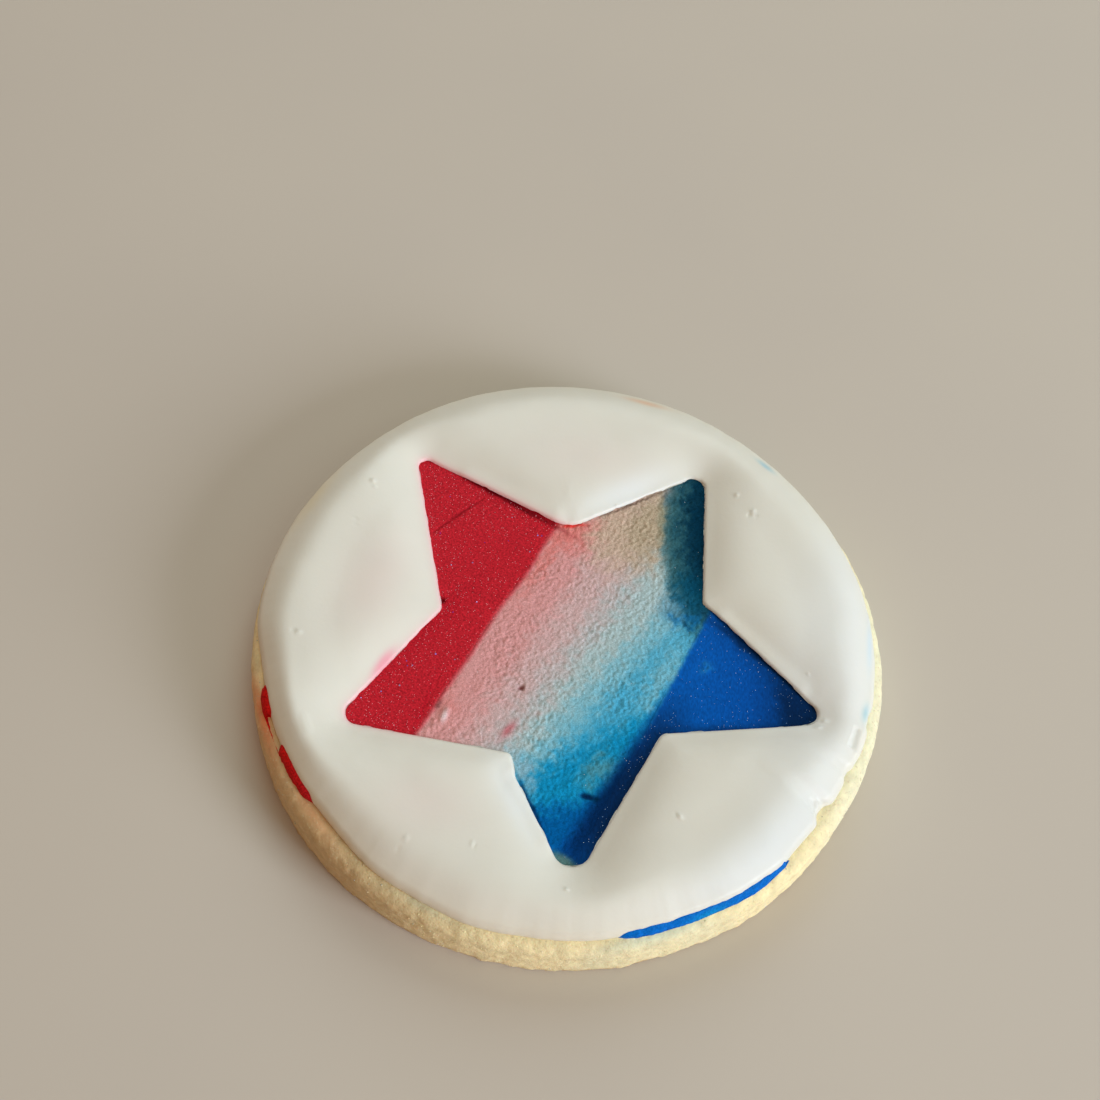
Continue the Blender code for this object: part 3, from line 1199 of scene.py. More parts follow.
@dataclass(frozen=True)
class FirstCoat:
    """The thin coloured coat: three bands that meet along two slanting lines. Lengths are in millimetres."""

    levels: Levels
    detail: Detail
    star: StarOpening
    rim: Rim = Rim(
        radius=38.2,
        swells=(Swell(3, 0.15, 40), Swell(7, 0.08, 10)),
        stretches=(
            Stretch(-166.5, -153.0, 2.2, 8, 3),
            Stretch(-163.0, -161.5, 0.25, 1.2, 1.5),
            Stretch(-157.5, -156.5, -0.30, 1.0, 1.2),
            Stretch(-151.5, -131.0, 1.9, 4, 9),
            Stretch(-147.0, -145.5, 0.35, 1.2, 1.4),
            Stretch(-141.5, -140.0, -0.25, 1.0, 1.5),
            Stretch(-137.5, -136.5, 0.25, 1.0, 1.2),
            Stretch(-86, -42.2, 1.75, 13, 1.2),
            Stretch(-60, -46.0, 0.22, 6, 3.0),
            Stretch(-66.0, -64.5, 0.15, 1.5, 1.5),
        ),
        roughness=0.15,
        pitch=1.3,
        grain=Grain(7),
    )
    red_line: Line = ((-10.4, 0.0), 66.8)
    blue_line: Line = ((15.8, 0.0), 68.3)
    blue_tail: Line = ((8.4, -16.2), 62.5)
    bead: float = 1.1
    relief: Grain = Grain(23)
    sand_depth: float = 0.155
    sand_turn: float = 52.0
    sand_stretch: float = 1.2
    sand_shade: float = 0.05
    coarse_sand: tuple[float, float] = (0.55, 1.0)
    fine_sand: tuple[float, float] = (0.75, 0.46)
    red_depth: float = 0.035
    red_pitch: float = 0.55
    swell_depth: float = 0.05
    swell_pitch: float = 7.0
    sink: float = 0.12
    drift: float = 1.15
    drift_pitch: float = 1.7
    teal_drift: float = 0.25
    blue_drift: float = 0.4
    last_drift: float = 0.12
    ragged: float = 0.10
    ragged_pitch: float = 0.9
    waver: float = 0.35
    waver_pitch: float = 9.0
    red_edge: tuple[float, float] = (-0.55, 0.65)
    blue_edge: tuple[float, float] = (-0.35, 0.45)
    tail_edge: tuple[float, float] = (-1.1, 1.1)
    dust_reach: float = 2.2
    dust_margin: float = 0.25
    fine_pitch: float = 0.165
    coarse_step: int = 8
    covered_from: float = 37.0
    reach: float = 40.0
    past_star: float = 0.7
    rim_points: int = 900
    rim_insets: tuple[float, ...] = (0.06, 0.16, 0.3, 0.48, 0.7, 0.95, 1.2)

    def across(self, points: Array, line: Line) -> Array:
        """Distance of each point to the right of a band line, in metres."""
        _, left = turned_axes(points - np.array(line[0]) * MM, line[1])
        return -left

    def sandiness(self, points: Array) -> Array:
        """The rough relief of the pale band, between -1.5 and 1.

        Args:
            points: flat points in metres.

        Returns:
            One number for each point.
        """
        along, side = turned_axes(points, self.sand_turn)
        stretched = np.column_stack([along / self.sand_stretch, side])
        (strong, pitch), (fine_strong, fine_pitch) = self.coarse_sand, self.fine_sand
        lumps = strong * self.relief.layered(stretched, pitch * MM, 2, 0.6)
        lumps = lumps + fine_strong * self.relief.layered(stretched, fine_pitch * MM, 3, 0.8, draw=4.0)
        patches = 0.75 + 0.5 * self.relief.layered(points, 5.0 * MM, 1, draw=7.0)
        return np.clip(lumps * patches, -1.5, 1.0)

    def height(self, points: Array, roundness: Array) -> Array:
        """Top of the coat.

        Args:
            points: flat points in metres.
            roundness: distance of each from the coat's rim, in metres.

        Returns:
            Heights in metres.
        """
        past_red = smooth_step(-0.5, 0.6, self.across(points, self.red_line) / MM)
        pale = past_red * (1.0 - smooth_step(-0.9, 0.3, self.across(points, self.blue_line) / MM))
        swell = self.relief.layered(points, self.swell_pitch * MM, 2)
        red_grain = self.relief.layered(points, self.red_pitch * MM, 2, draw=3.0)
        relief = pale * self.sand_depth * self.sandiness(points)
        relief += (1.0 - past_red) * self.red_depth * red_grain
        relief += self.swell_depth * swell - self.sink
        for dent in STAR_DENTS:
            relief += dent.at(points)
        top = self.levels.coat + relief * MM
        base = self.levels.biscuit - 0.1 * MM
        return base + (top - base) * rounded_step(roundness / (self.bead * MM), 2.0)

    def tone(self, points: Array) -> Array:
        """Screen colours of the airbrushed coat, which drifts and wavers where the bands meet, with painted shade
        and a painted highlight laid on.

        Args:
            points: flat points in metres.

        Returns:
            Screen colours, one row for each point.
        """
        drift = self.drift * MM * np.column_stack([
            self.relief.layered(points, self.drift_pitch * MM, 4, 0.7, draw) for draw in (5.0, 9.0)
        ])
        pale = paint(points + drift, Tint.ROSE, PALE_PASSES)
        pale = overlay(points + self.teal_drift * drift, pale, TEAL_PASSES)
        pale = overlay(points + drift, pale, DEEP_TEAL_PASSES)
        pale = pale * (1.0 + self.sand_shade * self.sandiness(points)[:, None])
        red = paint(points, Tint.CRIMSON, RED_PASSES)
        blue = paint(points + self.blue_drift * drift, Tint.ROYAL_BLUE, BLUE_PASSES)
        edge = self.ragged * self.relief.layered(points, self.ragged_pitch * MM, 2)
        waver = self.waver * self.relief.layered(points, self.waver_pitch * MM, 1, draw=2.0)
        past_red = smooth_step(*self.red_edge, self.across(points, self.red_line) / MM + edge + waver)
        upper = self.across(points, self.blue_line) / MM
        lower = self.across(points, self.blue_tail) / MM
        past_blue = smooth_step(*self.blue_edge, upper + 1.6 * edge)
        past_blue = np.maximum(past_blue, smooth_step(*self.tail_edge, lower + 2.0 * edge))
        colours = blend(blend(red, pale, past_red), blue, past_blue)
        return overlay(points + self.last_drift * drift, colours, LAST_PASSES)

    def sparkle(self, points: Array, band: Band) -> Array:
        """How thickly glitter lies, from 0 to 1: only in the star, and more towards its edge.

        Args:
            points: flat points in metres.
            band: the band that the points belong to.

        Returns:
            One share for each point.
        """
        inside = self.star.inside(points)
        gap = self.star.distances(points).min(axis=1)
        near = np.exp(-gap / (self.dust_reach * MM))
        if band is Band.PALE:
            return np.where(inside, 0.04 + 0.06 * near, 0.0)
        return np.where(inside & (gap > self.dust_margin * MM), 0.35 + 0.65 * near, 0.0)

    def _interior(self) -> Array:
        """Points to build the top from: fine in the star and at the bare rim, coarse where white covers it.

        Returns:
            Flat points in metres.
        """
        fine = self.fine_pitch * self.detail.value * MM
        rows = np.arange(-self.reach * MM, self.reach * MM, fine * math.sqrt(0.75))
        columns = np.arange(-self.reach * MM, self.reach * MM, fine)
        grid_x, grid_y = np.meshgrid(columns, rows)
        grid_x = grid_x + (np.arange(len(rows)) % 2)[:, None] * fine / 2.0
        flat = np.column_stack([grid_x.ravel(), grid_y.ravel()])
        wanted = self.star.inside(flat)
        near = radius_of(flat) < self.covered_from * MM
        candidates = np.flatnonzero(~wanted & near)
        wanted[candidates] = self.star.distances(flat[candidates]).min(axis=1) < self.past_star * MM
        coarse = np.zeros(grid_x.shape, dtype=bool)
        coarse[::self.coarse_step, ::self.coarse_step] = True
        wanted |= coarse.ravel() & near
        rim = []
        for inset in self.rim_insets:
            count = int(self.rim_points / self.detail.value)
            degrees = np.linspace(0.0, 360.0, count, endpoint=False) + inset * 40.0
            rim.append(polar(self.rim.at(degrees) - inset * MM, degrees))
        return np.concatenate([flat[wanted], *rim])

    def _line_end(self, line: Line, way: float) -> float:
        """Angle in degrees at which a band line leaves the coat.

        Args:
            line: the band line.
            way: 1 for its far end, -1 for its near end.

        Returns:
            The angle.
        """
        turn = math.radians(line[1])
        step = np.array([math.cos(turn), math.sin(turn)]) * way
        shares = np.linspace(0.0, 60.0 * MM, 4000)
        points = np.array(line[0]) * MM + shares[:, None] * step
        degrees = angle_of(points)
        return float(degrees[np.argmax(radius_of(points) > self.rim.at(degrees))])

    def _arc(self, start: float, end: float) -> Array:
        """Rim points anticlockwise from one angle to another.

        Args:
            start: first angle in degrees.
            end: last angle in degrees.

        Returns:
            Flat points in metres.
        """
        span = (end - start) % 360.0
        steps = max(4, int(span / 360.0 * self.rim_points / self.detail.value))
        degrees = start + span * np.linspace(0.0, 1.0, steps)
        return polar(self.rim.at(degrees), degrees)

    def _seam(self, start: Array, end: Array) -> Array:
        """Evenly spaced points between two rim points, without the two ends."""
        count = int(np.linalg.norm(end - start) / (self.fine_pitch * self.detail.value * MM))
        return np.linspace(start, end, count)[1:-1]

    def _outline(self, band: Band) -> Array:
        """Closed outline of one band, anticlockwise: arcs of the rim, each with the seam that follows.

        Args:
            band: which of the three.

        Returns:
            Flat points in metres.
        """
        red_low, red_high = (self._line_end(self.red_line, way) for way in (-1.0, 1.0))
        blue_low, blue_high = (self._line_end(self.blue_line, way) for way in (-1.0, 1.0))
        spans = {
            Band.RED: [(red_high, red_low)],
            Band.PALE: [(red_low, blue_low), (blue_high, red_high)],
            Band.BLUE: [(blue_low, blue_high)],
        }
        arcs = [self._arc(*span) for span in spans[band]]
        seams = [self._seam(arc[-1], following[0]) for arc, following in zip(arcs, arcs[1:] + arcs[:1])]
        return np.concatenate([part for pair in zip(arcs, seams) for part in pair])

    def _side(self, points: Array, band: Band, margin: float) -> Array:
        """Whether each point lies inside a band and clear of its lines.

        Args:
            points: flat points in metres.
            band: which of the three.
            margin: how far they stay clear, in metres.

        Returns:
            True for each point that does.
        """
        red = self.across(points, self.red_line)
        blue = self.across(points, self.blue_line)
        if band is Band.RED:
            return red < -margin
        if band is Band.BLUE:
            return blue > margin
        return (red > margin) & (blue < -margin)

    def build(self, band: Band) -> bpy.types.Object:
        """Make one band.

        Args:
            band: which of the three.

        Returns:
            The band's object.
        """
        outline = self._outline(band)
        interior = self._interior()
        interior = interior[self._side(interior, band, 0.06 * MM)]
        flat = np.concatenate([outline, interior])
        count = len(outline)
        border = [(index, (index + 1) % count) for index in range(count)]
        places, _, triangles, origins, _, _ = delaunay_2d_cdt([Vector(p) for p in flat], border, [], 1, 1e-9, True)
        flat = np.array([tuple(place) for place in places])
        inset = np.maximum(0.0, self.rim.at(angle_of(flat)) - radius_of(flat))
        top = raised(flat, self.height(flat, inset))
        number = {origin: index for index, group in enumerate(origins) for origin in group if origin < count}
        loop = [number[index] for index in range(count)]
        under = raised(flat[loop], self.levels.biscuit - 0.25 * MM)
        total = len(top)
        faces: list[Sequence[int]] = [tuple(face) for face in triangles]
        for index in range(count):
            nearby = (index + 1) % count
            faces.append((loop[index], total + index, total + nearby, loop[nearby]))
        faces.append(tuple(range(total + count - 1, total - 1, -1)))
        piece = mesh_object(band.value + "_coat", np.vstack([top, under]), faces)
        crease(piece, {(min(a, b), max(a, b)) for a, b in zip(loop, loop[1:] + loop[:1])})
        tone = self.tone(flat)
        set_tone(piece, np.vstack([tone, tone[loop]]), COAT_LIGHT_SHARE)
        dust = self.sparkle(flat, band)
        set_number(piece, SPARKLE, np.concatenate([dust, np.zeros(count)]))
        piece.data.materials.append(band.finish.build())
        return piece


@dataclass(frozen=True)
class Dent:
    """A small mark in a surface: a bubble, pit, nick or scratch.

    Args:
        start: one end in millimetres.
        end: the other end, the same for a round mark.
        width: half width in millimetres.
        height: how far it stands up, negative for a pit, in millimetres.
    """

    start: tuple[float, float]
    end: tuple[float, float]
    width: float
    height: float

    @classmethod
    def dot(cls, x: float, y: float, width: float, height: float) -> Dent:
        """A round mark."""
        return cls((x, y), (x, y), width, height)

    def at(self, points: Array) -> Array:
        """Height of the mark at each flat point in metres, in millimetres.

        Args:
            points: flat points in metres.

        Returns:
            One height for each point.
        """
        start, end = np.array(self.start), np.array(self.end)
        away = points / MM - start
        along = end - start
        length = float(along @ along)
        if length > 0.0:
            away = away - np.clip(away @ along / length, 0.0, 1.0)[:, None] * along
        return self.height * np.exp(-((away**2).sum(axis=1) / self.width**2) ** 1.5)


# Marks in the first coat: a scratch, nicks, bubbles and a crack.
STAR_DENTS = (
    Dent((-19.9, 12.7), (-14.0, 19.1), 0.16, -0.10),
    Dent((-15.9, -8.4), (-17.6, -15.8), 0.22, -0.06),
    Dent.dot(-17.2, 2.4, 0.45, -0.35),
    Dent.dot(-15.3, -13.4, 0.55, -0.22),
    Dent((-14.6, -14.6), (-14.3, -13.2), 0.45, 0.20),
    Dent.dot(-5.4, -8.8, 0.42, -0.34),
    Dent((3.7, -22.1), (5.3, -22.5), 0.38, -0.40),
    Dent((14.2, 3.9), (14.7, 3.4), 0.28, -0.22),
    Dent.dot(13.7, 4.1, 0.3, 0.10),
    Dent.dot(17.9, -2.6, 0.60, 0.10),
    Dent.dot(18.0, -2.6, 0.22, -0.16),
)

# Airbrushed colour of each band, laid down in this order, and what is laid over all three, with painted shade and a
# painted highlight.
RED_PASSES = (
    # Darker red along the star's upper-left side: partly the icing's own colour, partly painted shade beside the
    # white coat's wall.
    Mist((-10.0, 20.6), 15.0, 1.6, -27.0, Tint.DEEP_CRIMSON, 0.6),
    Mist((-18.5, -2.0), 9.0, 1.6, 55.0, Tint.DEEP_CRIMSON, 0.3),
    Mist((-1.0, 16.6), 2.4, 0.8, 5.0, Tint.SCARLET, 0.9, 1.5),
)

PALE_PASSES = (
    Wash((-3.0, 2.0), 65.0, 4.5, Tint.BLUSH),
    Wash((1.5, 2.0), 62.0, 3.5, Tint.WARM_GREY),
    Wash((4.5, 2.0), 62.0, 3.5, Tint.MIST_GREY),
    Wash((4.8, -4.5), 55.0, 4.0, Tint.PALE_CYAN),
    Wash((6.3, -8.0), 54.7, 3.5, Tint.CYAN),
    Mist((12.4, -4.6), 6.0, 1.5, 64.0, Tint.PALE_CYAN, 0.8, 1.3),
    Wash((2.0, -16.6), 36.0, 3.6, Tint.LAKE_BLUE),
    Mist((5.3, -18.6), 3.0, 1.7, 48.0, Tint.SLATE_GREEN, 0.85, 1.4),
    Mist((-3.6, -20.4), 3.2, 1.2, -63.0, Tint.CLOUD_BLUE, 0.7, 1.3),
    Wash((0.6, -24.3), 20.0, 3.5, Tint.DEEP_LAKE),
    Mist((-3.6, -15.0), 2.4, 1.2, 60.0, Tint.MIST_GREY, 0.7, 1.3),
    Mist((-1.2, 15.4), 4.2, 2.7, 10.0, Tint.SALMON, 0.85, 1.3),
    Mist((-4.6, 10.5), 7.0, 0.9, 66.0, Tint.SALMON, 0.7),
    Mist((5.2, 16.5), 6.5, 4.2, 80.0, Tint.SAND, 0.95, 1.8),
    Mist((9.3, 18.0), 7.0, 3.2, 85.0, Tint.BEIGE, 0.95, 1.8),
    Mist((-14.5, -12.5), 2.6, 1.2, 66.0, Tint.SALMON, 0.4),
)

TEAL_PASSES = (
    Mist((15.4, 16.5), 14.5, 4.5, 95.0, Tint.TEAL, 0.97, 5.0),
    Mist((13.2, 5.6), 2.4, 2.0, 80.0, Tint.STEEL, 0.8, 1.5),
    Mist((10.6, 20.0), 4.5, 0.5, 92.0, Tint.OLIVE, 0.6, 1.2),
)

# Darker teal and blue on the right of the upper right arm, beside the white coat's wall: partly the icing's own
# colour, partly painted shade.
DEEP_TEAL_PASSES = (
    Mist((17.7, 18.0), 14.0, 4.3, 95.0, Tint.DEEP_TEAL, 0.97, 2.6),
    Mist((15.6, 8.5), 3.4, 2.6, 95.0, Tint.MID_TEAL, 0.8, 1.5),
    Mist((15.2, 4.2), 2.0, 1.2, 30.0, Tint.DEEP_LAKE, 0.6, 1.4),
)

LAST_PASSES = (
    Mist((20.0, -35.5), 24.0, 6.0, 35.0, Tint.BRIGHT_BLUE, 1.0, 3.0),
    Mist((20.3, -34.6), 2.6, 0.5, 28.0, Tint.LAKE_BLUE, 0.8),
    Mist((-36.0, -15.5), 14.0, 3.4, -62.0, Tint.DARK_SCARLET, 0.9, 2.0),
    # Painted shade: dark line at the foot of the white coat's wall on the upper left.
    Mist((-10.4, 19.1), 8.5, 0.42, -24.8, Tint.WINE, 0.8, 1.5),
    Mist((-1.3, 16.55), 1.7, 0.32, 14.0, Tint.SCARLET, 0.9, 1.5),
    # Painted shade: dark line at the foot of the white coat's wall on the upper side.
    Mist((6.1, 21.0), 5.0, 0.20, 34.0, Tint.UMBER, 0.75, 1.5),
    # Painted shade: dark line at the foot of the white coat's wall on the lower left.
    Mist((-2.4, -24.3), 3.8, 0.34, -59.2, Tint.INK, 0.75, 1.5),
    # Painted shade: dark line at the foot of the white coat's wall on the right.
    Mist((24.6, 0.0), 7.0, 0.55, -36.0, Tint.INK, 0.85, 1.5),
    # Painted shade in a nick.
    Mist((4.3, -22.2), 1.0, 0.36, -4.0, Tint.INK, 0.92, 1.6),
    Mist((2.3, -30.9), 2.0, 0.9, -28.0, Tint.TIP_TEAL, 0.95, 2.0),
    # Painted shade in a pit.
    Mist((-5.4, -8.8), 0.42, 0.26, 40.0, Tint.PIT_SHADE, 0.95, 1.4),
    Mist((-6.3, -14.8), 1.4, 0.5, 58.0, Tint.CRIMSON, 0.45),
    # Painted shade along a scratch.
    Mist((-17.2, -13.0), 3.8, 0.20, 79.0, Tint.DEEP_CRIMSON, 0.6, 1.2),
    # Painted shade along a scratch.
    Mist((-17.0, 15.9), 4.2, 0.17, 47.0, Tint.WINE, 0.5, 1.2),
    # Painted shade in a pit.
    Mist((-17.2, 2.4), 0.5, 0.4, 0.0, Tint.WINE, 0.8, 1.3),
    # Painted shade in a crack.
    Mist((-15.4, -12.6), 0.75, 0.30, 60.0, Tint.PIT_SHADE, 0.8, 1.2),
    # Painted highlight on a bump.
    Mist((-14.5, -14.1), 0.9, 0.40, 80.0, Tint.LIT_MILK, 0.6, 1.2),
)

# The blue darkens towards the right tip and in strips along the white coat's walls: partly the icing's own colour,
# partly painted shade.
BLUE_PASSES = (
    Wash((20.0, -5.0), 90.0, 13.0, Tint.DEEP_BLUE),
    Wash((25.5, -5.0), 92.0, 5.0, Tint.NAVY, 0.8),
    Wash((27.6, -6.0), 96.0, 2.6, Tint.INK),
    Mist((24.0, 0.4), 9.0, 1.5, -39.0, Tint.NAVY, 0.6),
    Mist((20.0, -11.3), 9.0, 0.9, 9.0, Tint.NAVY, 0.6),
    Mist((8.6, -20.0), 12.0, 3.4, 62.0, Tint.NAVY, 1.0, 1.8),
    Mist((8.0, -22.0), 11.0, 2.7, 62.0, Tint.INK, 0.85, 1.4),
    Mist((17.9, -2.6), 0.9, 0.6, 30.0, Tint.CYAN, 0.3),
)


@dataclass(frozen=True)
class WhiteCoat:
    """The thick white coat with the star left open, with lengths in millimetres."""

    levels: Levels
    detail: Detail
    star: StarOpening
    coat: FirstCoat
    rim: Rim = Rim(
        radius=40.25,
        swells=(Swell(1, 0.45, 112), Swell(4, 0.10, 5), Swell(7, 0.06, -85)),
        stretches=(
            Stretch(-176, -118, -0.75, 12, 14),
            Stretch(-110, -92, 0.30, 8, 8),
            Stretch(-79, -54, -0.25, 6, 8),
            Stretch(-46, -15, -0.55, 8, 8),
            Stretch(-34, -28, -0.80, 2.0, 2.5),
            Stretch(-13, -7, -0.30, 2.0, 2.5),
            Stretch(-24, -20, -0.30, 1.5, 1.5),
        ),
        roughness=0.05,
        pitch=2.5,
        grain=Grain(3),
    )
    star_shoulder: float = 8.0
    rim_shoulder: float = 6.8
    shoulder_drift: float = 0.2
    narrow_at: float = -155.0
    narrow_spread: float = 32.0
    narrow_share: float = 0.38
    star_lip: float = 0.42
    star_lip_width: float = 0.35
    star_foot: float = 0.05
    rim_lip: float = 0.95
    rim_lip_width: float = 0.7
    rim_foot: float = 0.3
    corner_power: float = 3.0
    crest_power: float = 1.5
    bowl: float = 0.22
    dimple: float = 0.05
    sink: float = 0.06
    undercut: float = 0.12
    bleed: float = 0.75
    bleed_reach: float = 0.38
    cream: float = 0.35
    cream_reach: float = 0.9
    sectors: int = 1080
    middle_rings: int = 46
    near_rings: tuple[float, ...] = (
        0.0, 0.015, 0.04, 0.08, 0.14, 0.22, 0.32, 0.45, 0.62, 0.82, 1.06, 1.35, 1.7, 2.1,
    )
    grain: Grain = Grain(41)

    @staticmethod
    def fall_off(full: float | Array, lip: float, inward: Array, width: float | Array, lip_width: float) -> Array:
        """How far the coat falls short of its crest near an edge.

        Args:
            full: fall at the very edge, in millimetres.
            lip: part of it that is taken up by the steep rounded lip.
            inward: distance in from the edge.
            width: distance over which the coat swells up to its crest.
            lip_width: width of the lip.

        Returns:
            Falls in millimetres.
        """
        swell = 1.0 - swell_up(inward, 1.0, width)
        steep = 1.0 - rounded_step(inward / lip_width, 2.0)
        return (full - lip) * swell + lip * steep

    def height(self, points: Array) -> Array:
        """Top of the white coat.

        Args:
            points: flat points in metres.

        Returns:
            Heights in metres.
        """
        degrees = angle_of(points)
        sides = np.maximum(1e-7, self.star.distances(points) / MM)
        star = (sides**-self.corner_power).sum(axis=1) ** (-1.0 / self.corner_power)
        rim = np.maximum(0.0, (self.rim.at(degrees) - radius_of(points)) / MM)
        crest = self.levels.white / MM
        star_foot = self.levels.coat / MM + self.star_foot
        for lift in EDGE_LIFTS:
            star_foot = star_foot + lift.at(points)
        rim_foot = self.levels.biscuit / MM + self.rim_foot
        width = self.rim_shoulder * (1.0 + self.shoulder_drift * self.grain.layered(points, 26.0 * MM, 1))
        narrow = np.exp(-((wrap_degrees(degrees - self.narrow_at) / self.narrow_spread) ** 2))
        width = width * (1.0 - self.narrow_share * narrow)
        star_fall = self.fall_off(crest - star_foot, self.star_lip, star, self.star_shoulder, self.star_lip_width)
        rim_fall = self.fall_off(crest - rim_foot, self.rim_lip, rim, width, self.rim_lip_width)
        fall = (star_fall**self.crest_power + rim_fall**self.crest_power) ** (1.0 / self.crest_power)
        fall += self.bowl * smooth_step(5.5, 10.5, rim)
        dimples = 1.0 + self.grain.layered(points, 9.0 * MM, 2)
        fall += self.dimple * dimples * smooth_step(0.0, 1.5, star)
        level = crest - (fall + self.sink)
        for dent in WHITE_DENTS:
            level = level + dent.at(points)
        return level * MM

    def tone(self, points: Array) -> Array:
        """Screen colours: white, tinted where colour bled into it and where it thins out, with painted light,
        painted shade and painted highlights laid on.

        Args:
            points: flat points in metres.

        Returns:
            Screen colours, one row for each point.
        """
        colours = paint(points, Tint.WHITE_ICING, WHITE_PASSES)
        edge = np.exp(-self.star.distances(points).min(axis=1) / (self.bleed_reach * MM))
        red_side = 1.0 - smooth_step(-1.0, 3.0, self.coat.across(points, self.coat.red_line) / MM)
        colours = blend(colours, Tint.PINK_BLEED.screen, edge * red_side * self.bleed)
        thin = np.exp(-((self.rim.at(angle_of(points)) - radius_of(points)) / (self.cream_reach * MM)))
        return blend(colours, Tint.CREAM.screen, self.cream * np.clip(thin, 0.0, 1.0))

    def build(self) -> bpy.types.Object:
        """Make the white coat.

        Returns:
            The white coat's object.
        """
        sectors = int(self.sectors / self.detail.value)
        inner = self.star.outline(sectors)
        degrees = angle_of(inner - np.array(self.star.centre) * MM)
        rim = self.rim.at(degrees)
        outer = polar(rim, degrees)
        span = np.linalg.norm(outer - inner, axis=1)
        near = np.array(self.near_rings) * MM
        middle = np.linspace(0.0, 1.0, int(self.middle_rings / self.detail.value) + 2)[1:-1]
        low, high = near[-1] / span, 1.0 - near[-1] / span
        shares = [step / span for step in near]
        shares += [low + (high - low) * part for part in middle]
        shares += [1.0 - step / span for step in near[::-1]]
        rings = []
        for share in shares:
            flat = inner * (1.0 - share[:, None]) + outer * share[:, None]
            rings.append(raised(flat, self.height(flat)))
        toe, under = self.levels.biscuit - 0.05 * MM, self.levels.coat - 0.15 * MM
        ledge = np.minimum(self.coat.rim.at(degrees) + 0.1 * MM, rim - 0.5 * MM)
        recess = self.undercut + 1.2 * sum(lift.at(inner) for lift in EDGE_LIFTS)
        outward = left_of(inner - np.roll(inner, 1, axis=0))
        rings += [
            raised(rings[-1][:, :2], rings[-1][:, 2] * 0.5 + toe * 0.5),
            raised(polar(rim - 0.18 * MM, degrees), toe),
            raised(polar(ledge, degrees), toe),
            raised(polar(ledge - 0.1 * MM, degrees), under),
            raised(inner + outward * recess[:, None] * MM, under),
        ]
        points = np.concatenate(rings)
        faces = ring_faces(len(rings), sectors, closed=True)
        piece = mesh_object("icing_white_coat", points, [face[::-1] for face in faces])
        set_tone(piece, self.tone(points[:, :2]))
        piece.data.materials.append(WhiteIcingFinish().build())
        return piece


# Stretches of the star's edge where the white stands a little off the coat below.
EDGE_LIFTS = (
    Dent((-16.5, 21.8), (-4.5, 17.2), 1.6, 0.22),
    Dent((19.5, 4.4), (29.5, -4.0), 1.6, 0.30),
    Dent((-5.2, -20.8), (0.2, -28.6), 1.4, 0.28),
    Dent((2.0, 18.2), (10.5, 23.4), 1.2, 0.10),
)

# Bubbles and pits in the white, then the grooves and the ridges beside them at the rim.
WHITE_DENTS = (
    Dent.dot(-29.0, 18.2, 0.36, 0.16),
    Dent.dot(-28.6, 17.3, 0.25, 0.09),
    Dent.dot(-30.3, 11.8, 0.19, -0.13),
    Dent.dot(-30.1, 10.9, 0.16, -0.09),
    Dent.dot(-24.7, -0.5, 0.16, -0.09),
    Dent.dot(-34.2, -6.2, 0.3, 0.16),
    Dent.dot(-34.9, -5.9, 0.22, -0.12),
    Dent((-31.2, -17.4), (-30.4, -18.9), 0.60, 0.06),
    Dent.dot(20.6, 23.8, 0.29, 0.13),
    Dent.dot(22.4, 20.6, 0.25, -0.16),
    Dent.dot(22.9, 21.2, 0.3, 0.16),
    Dent.dot(23.4, 20.5, 0.18, -0.09),
    Dent.dot(32.4, -9.4, 0.27, 0.16),
    Dent.dot(33.2, -8.4, 0.3, 0.17),
    Dent.dot(30.9, -2.3, 0.16, 0.09),
    Dent.dot(15.5, -24.1, 0.3, 0.16),
    Dent.dot(15.0, -23.9, 0.17, -0.09),
    Dent.dot(-16.4, -31.2, 0.27, 0.12),
    Dent.dot(-17.1, -32.4, 0.17, -0.12),
    Dent.dot(-8.7, -30.8, 0.24, 0.12),
    Dent.dot(-8.3, -31.0, 0.16, -0.09),
    Dent.dot(2.9, -34.6, 0.24, 0.12),
    Dent.dot(4.3, 20.4, 0.16, 0.09),
    Dent((37.3, -9.0), (36.6, -11.3), 0.30, -0.28),
    Dent((38.1, -9.4), (37.5, -12.0), 0.40, 0.14),
    Dent((35.6, -15.9), (34.2, -18.6), 0.28, -0.26),
    Dent((36.2, -16.2), (34.9, -18.7), 0.40, 0.15),
    Dent((31.8, -19.4), (32.6, -21.6), 0.22, -0.20),
    Dent((32.5, -19.1), (34.2, -19.5), 0.20, -0.18),
    Dent((32.6, -20.2), (33.2, -21.5), 0.35, 0.12),
)

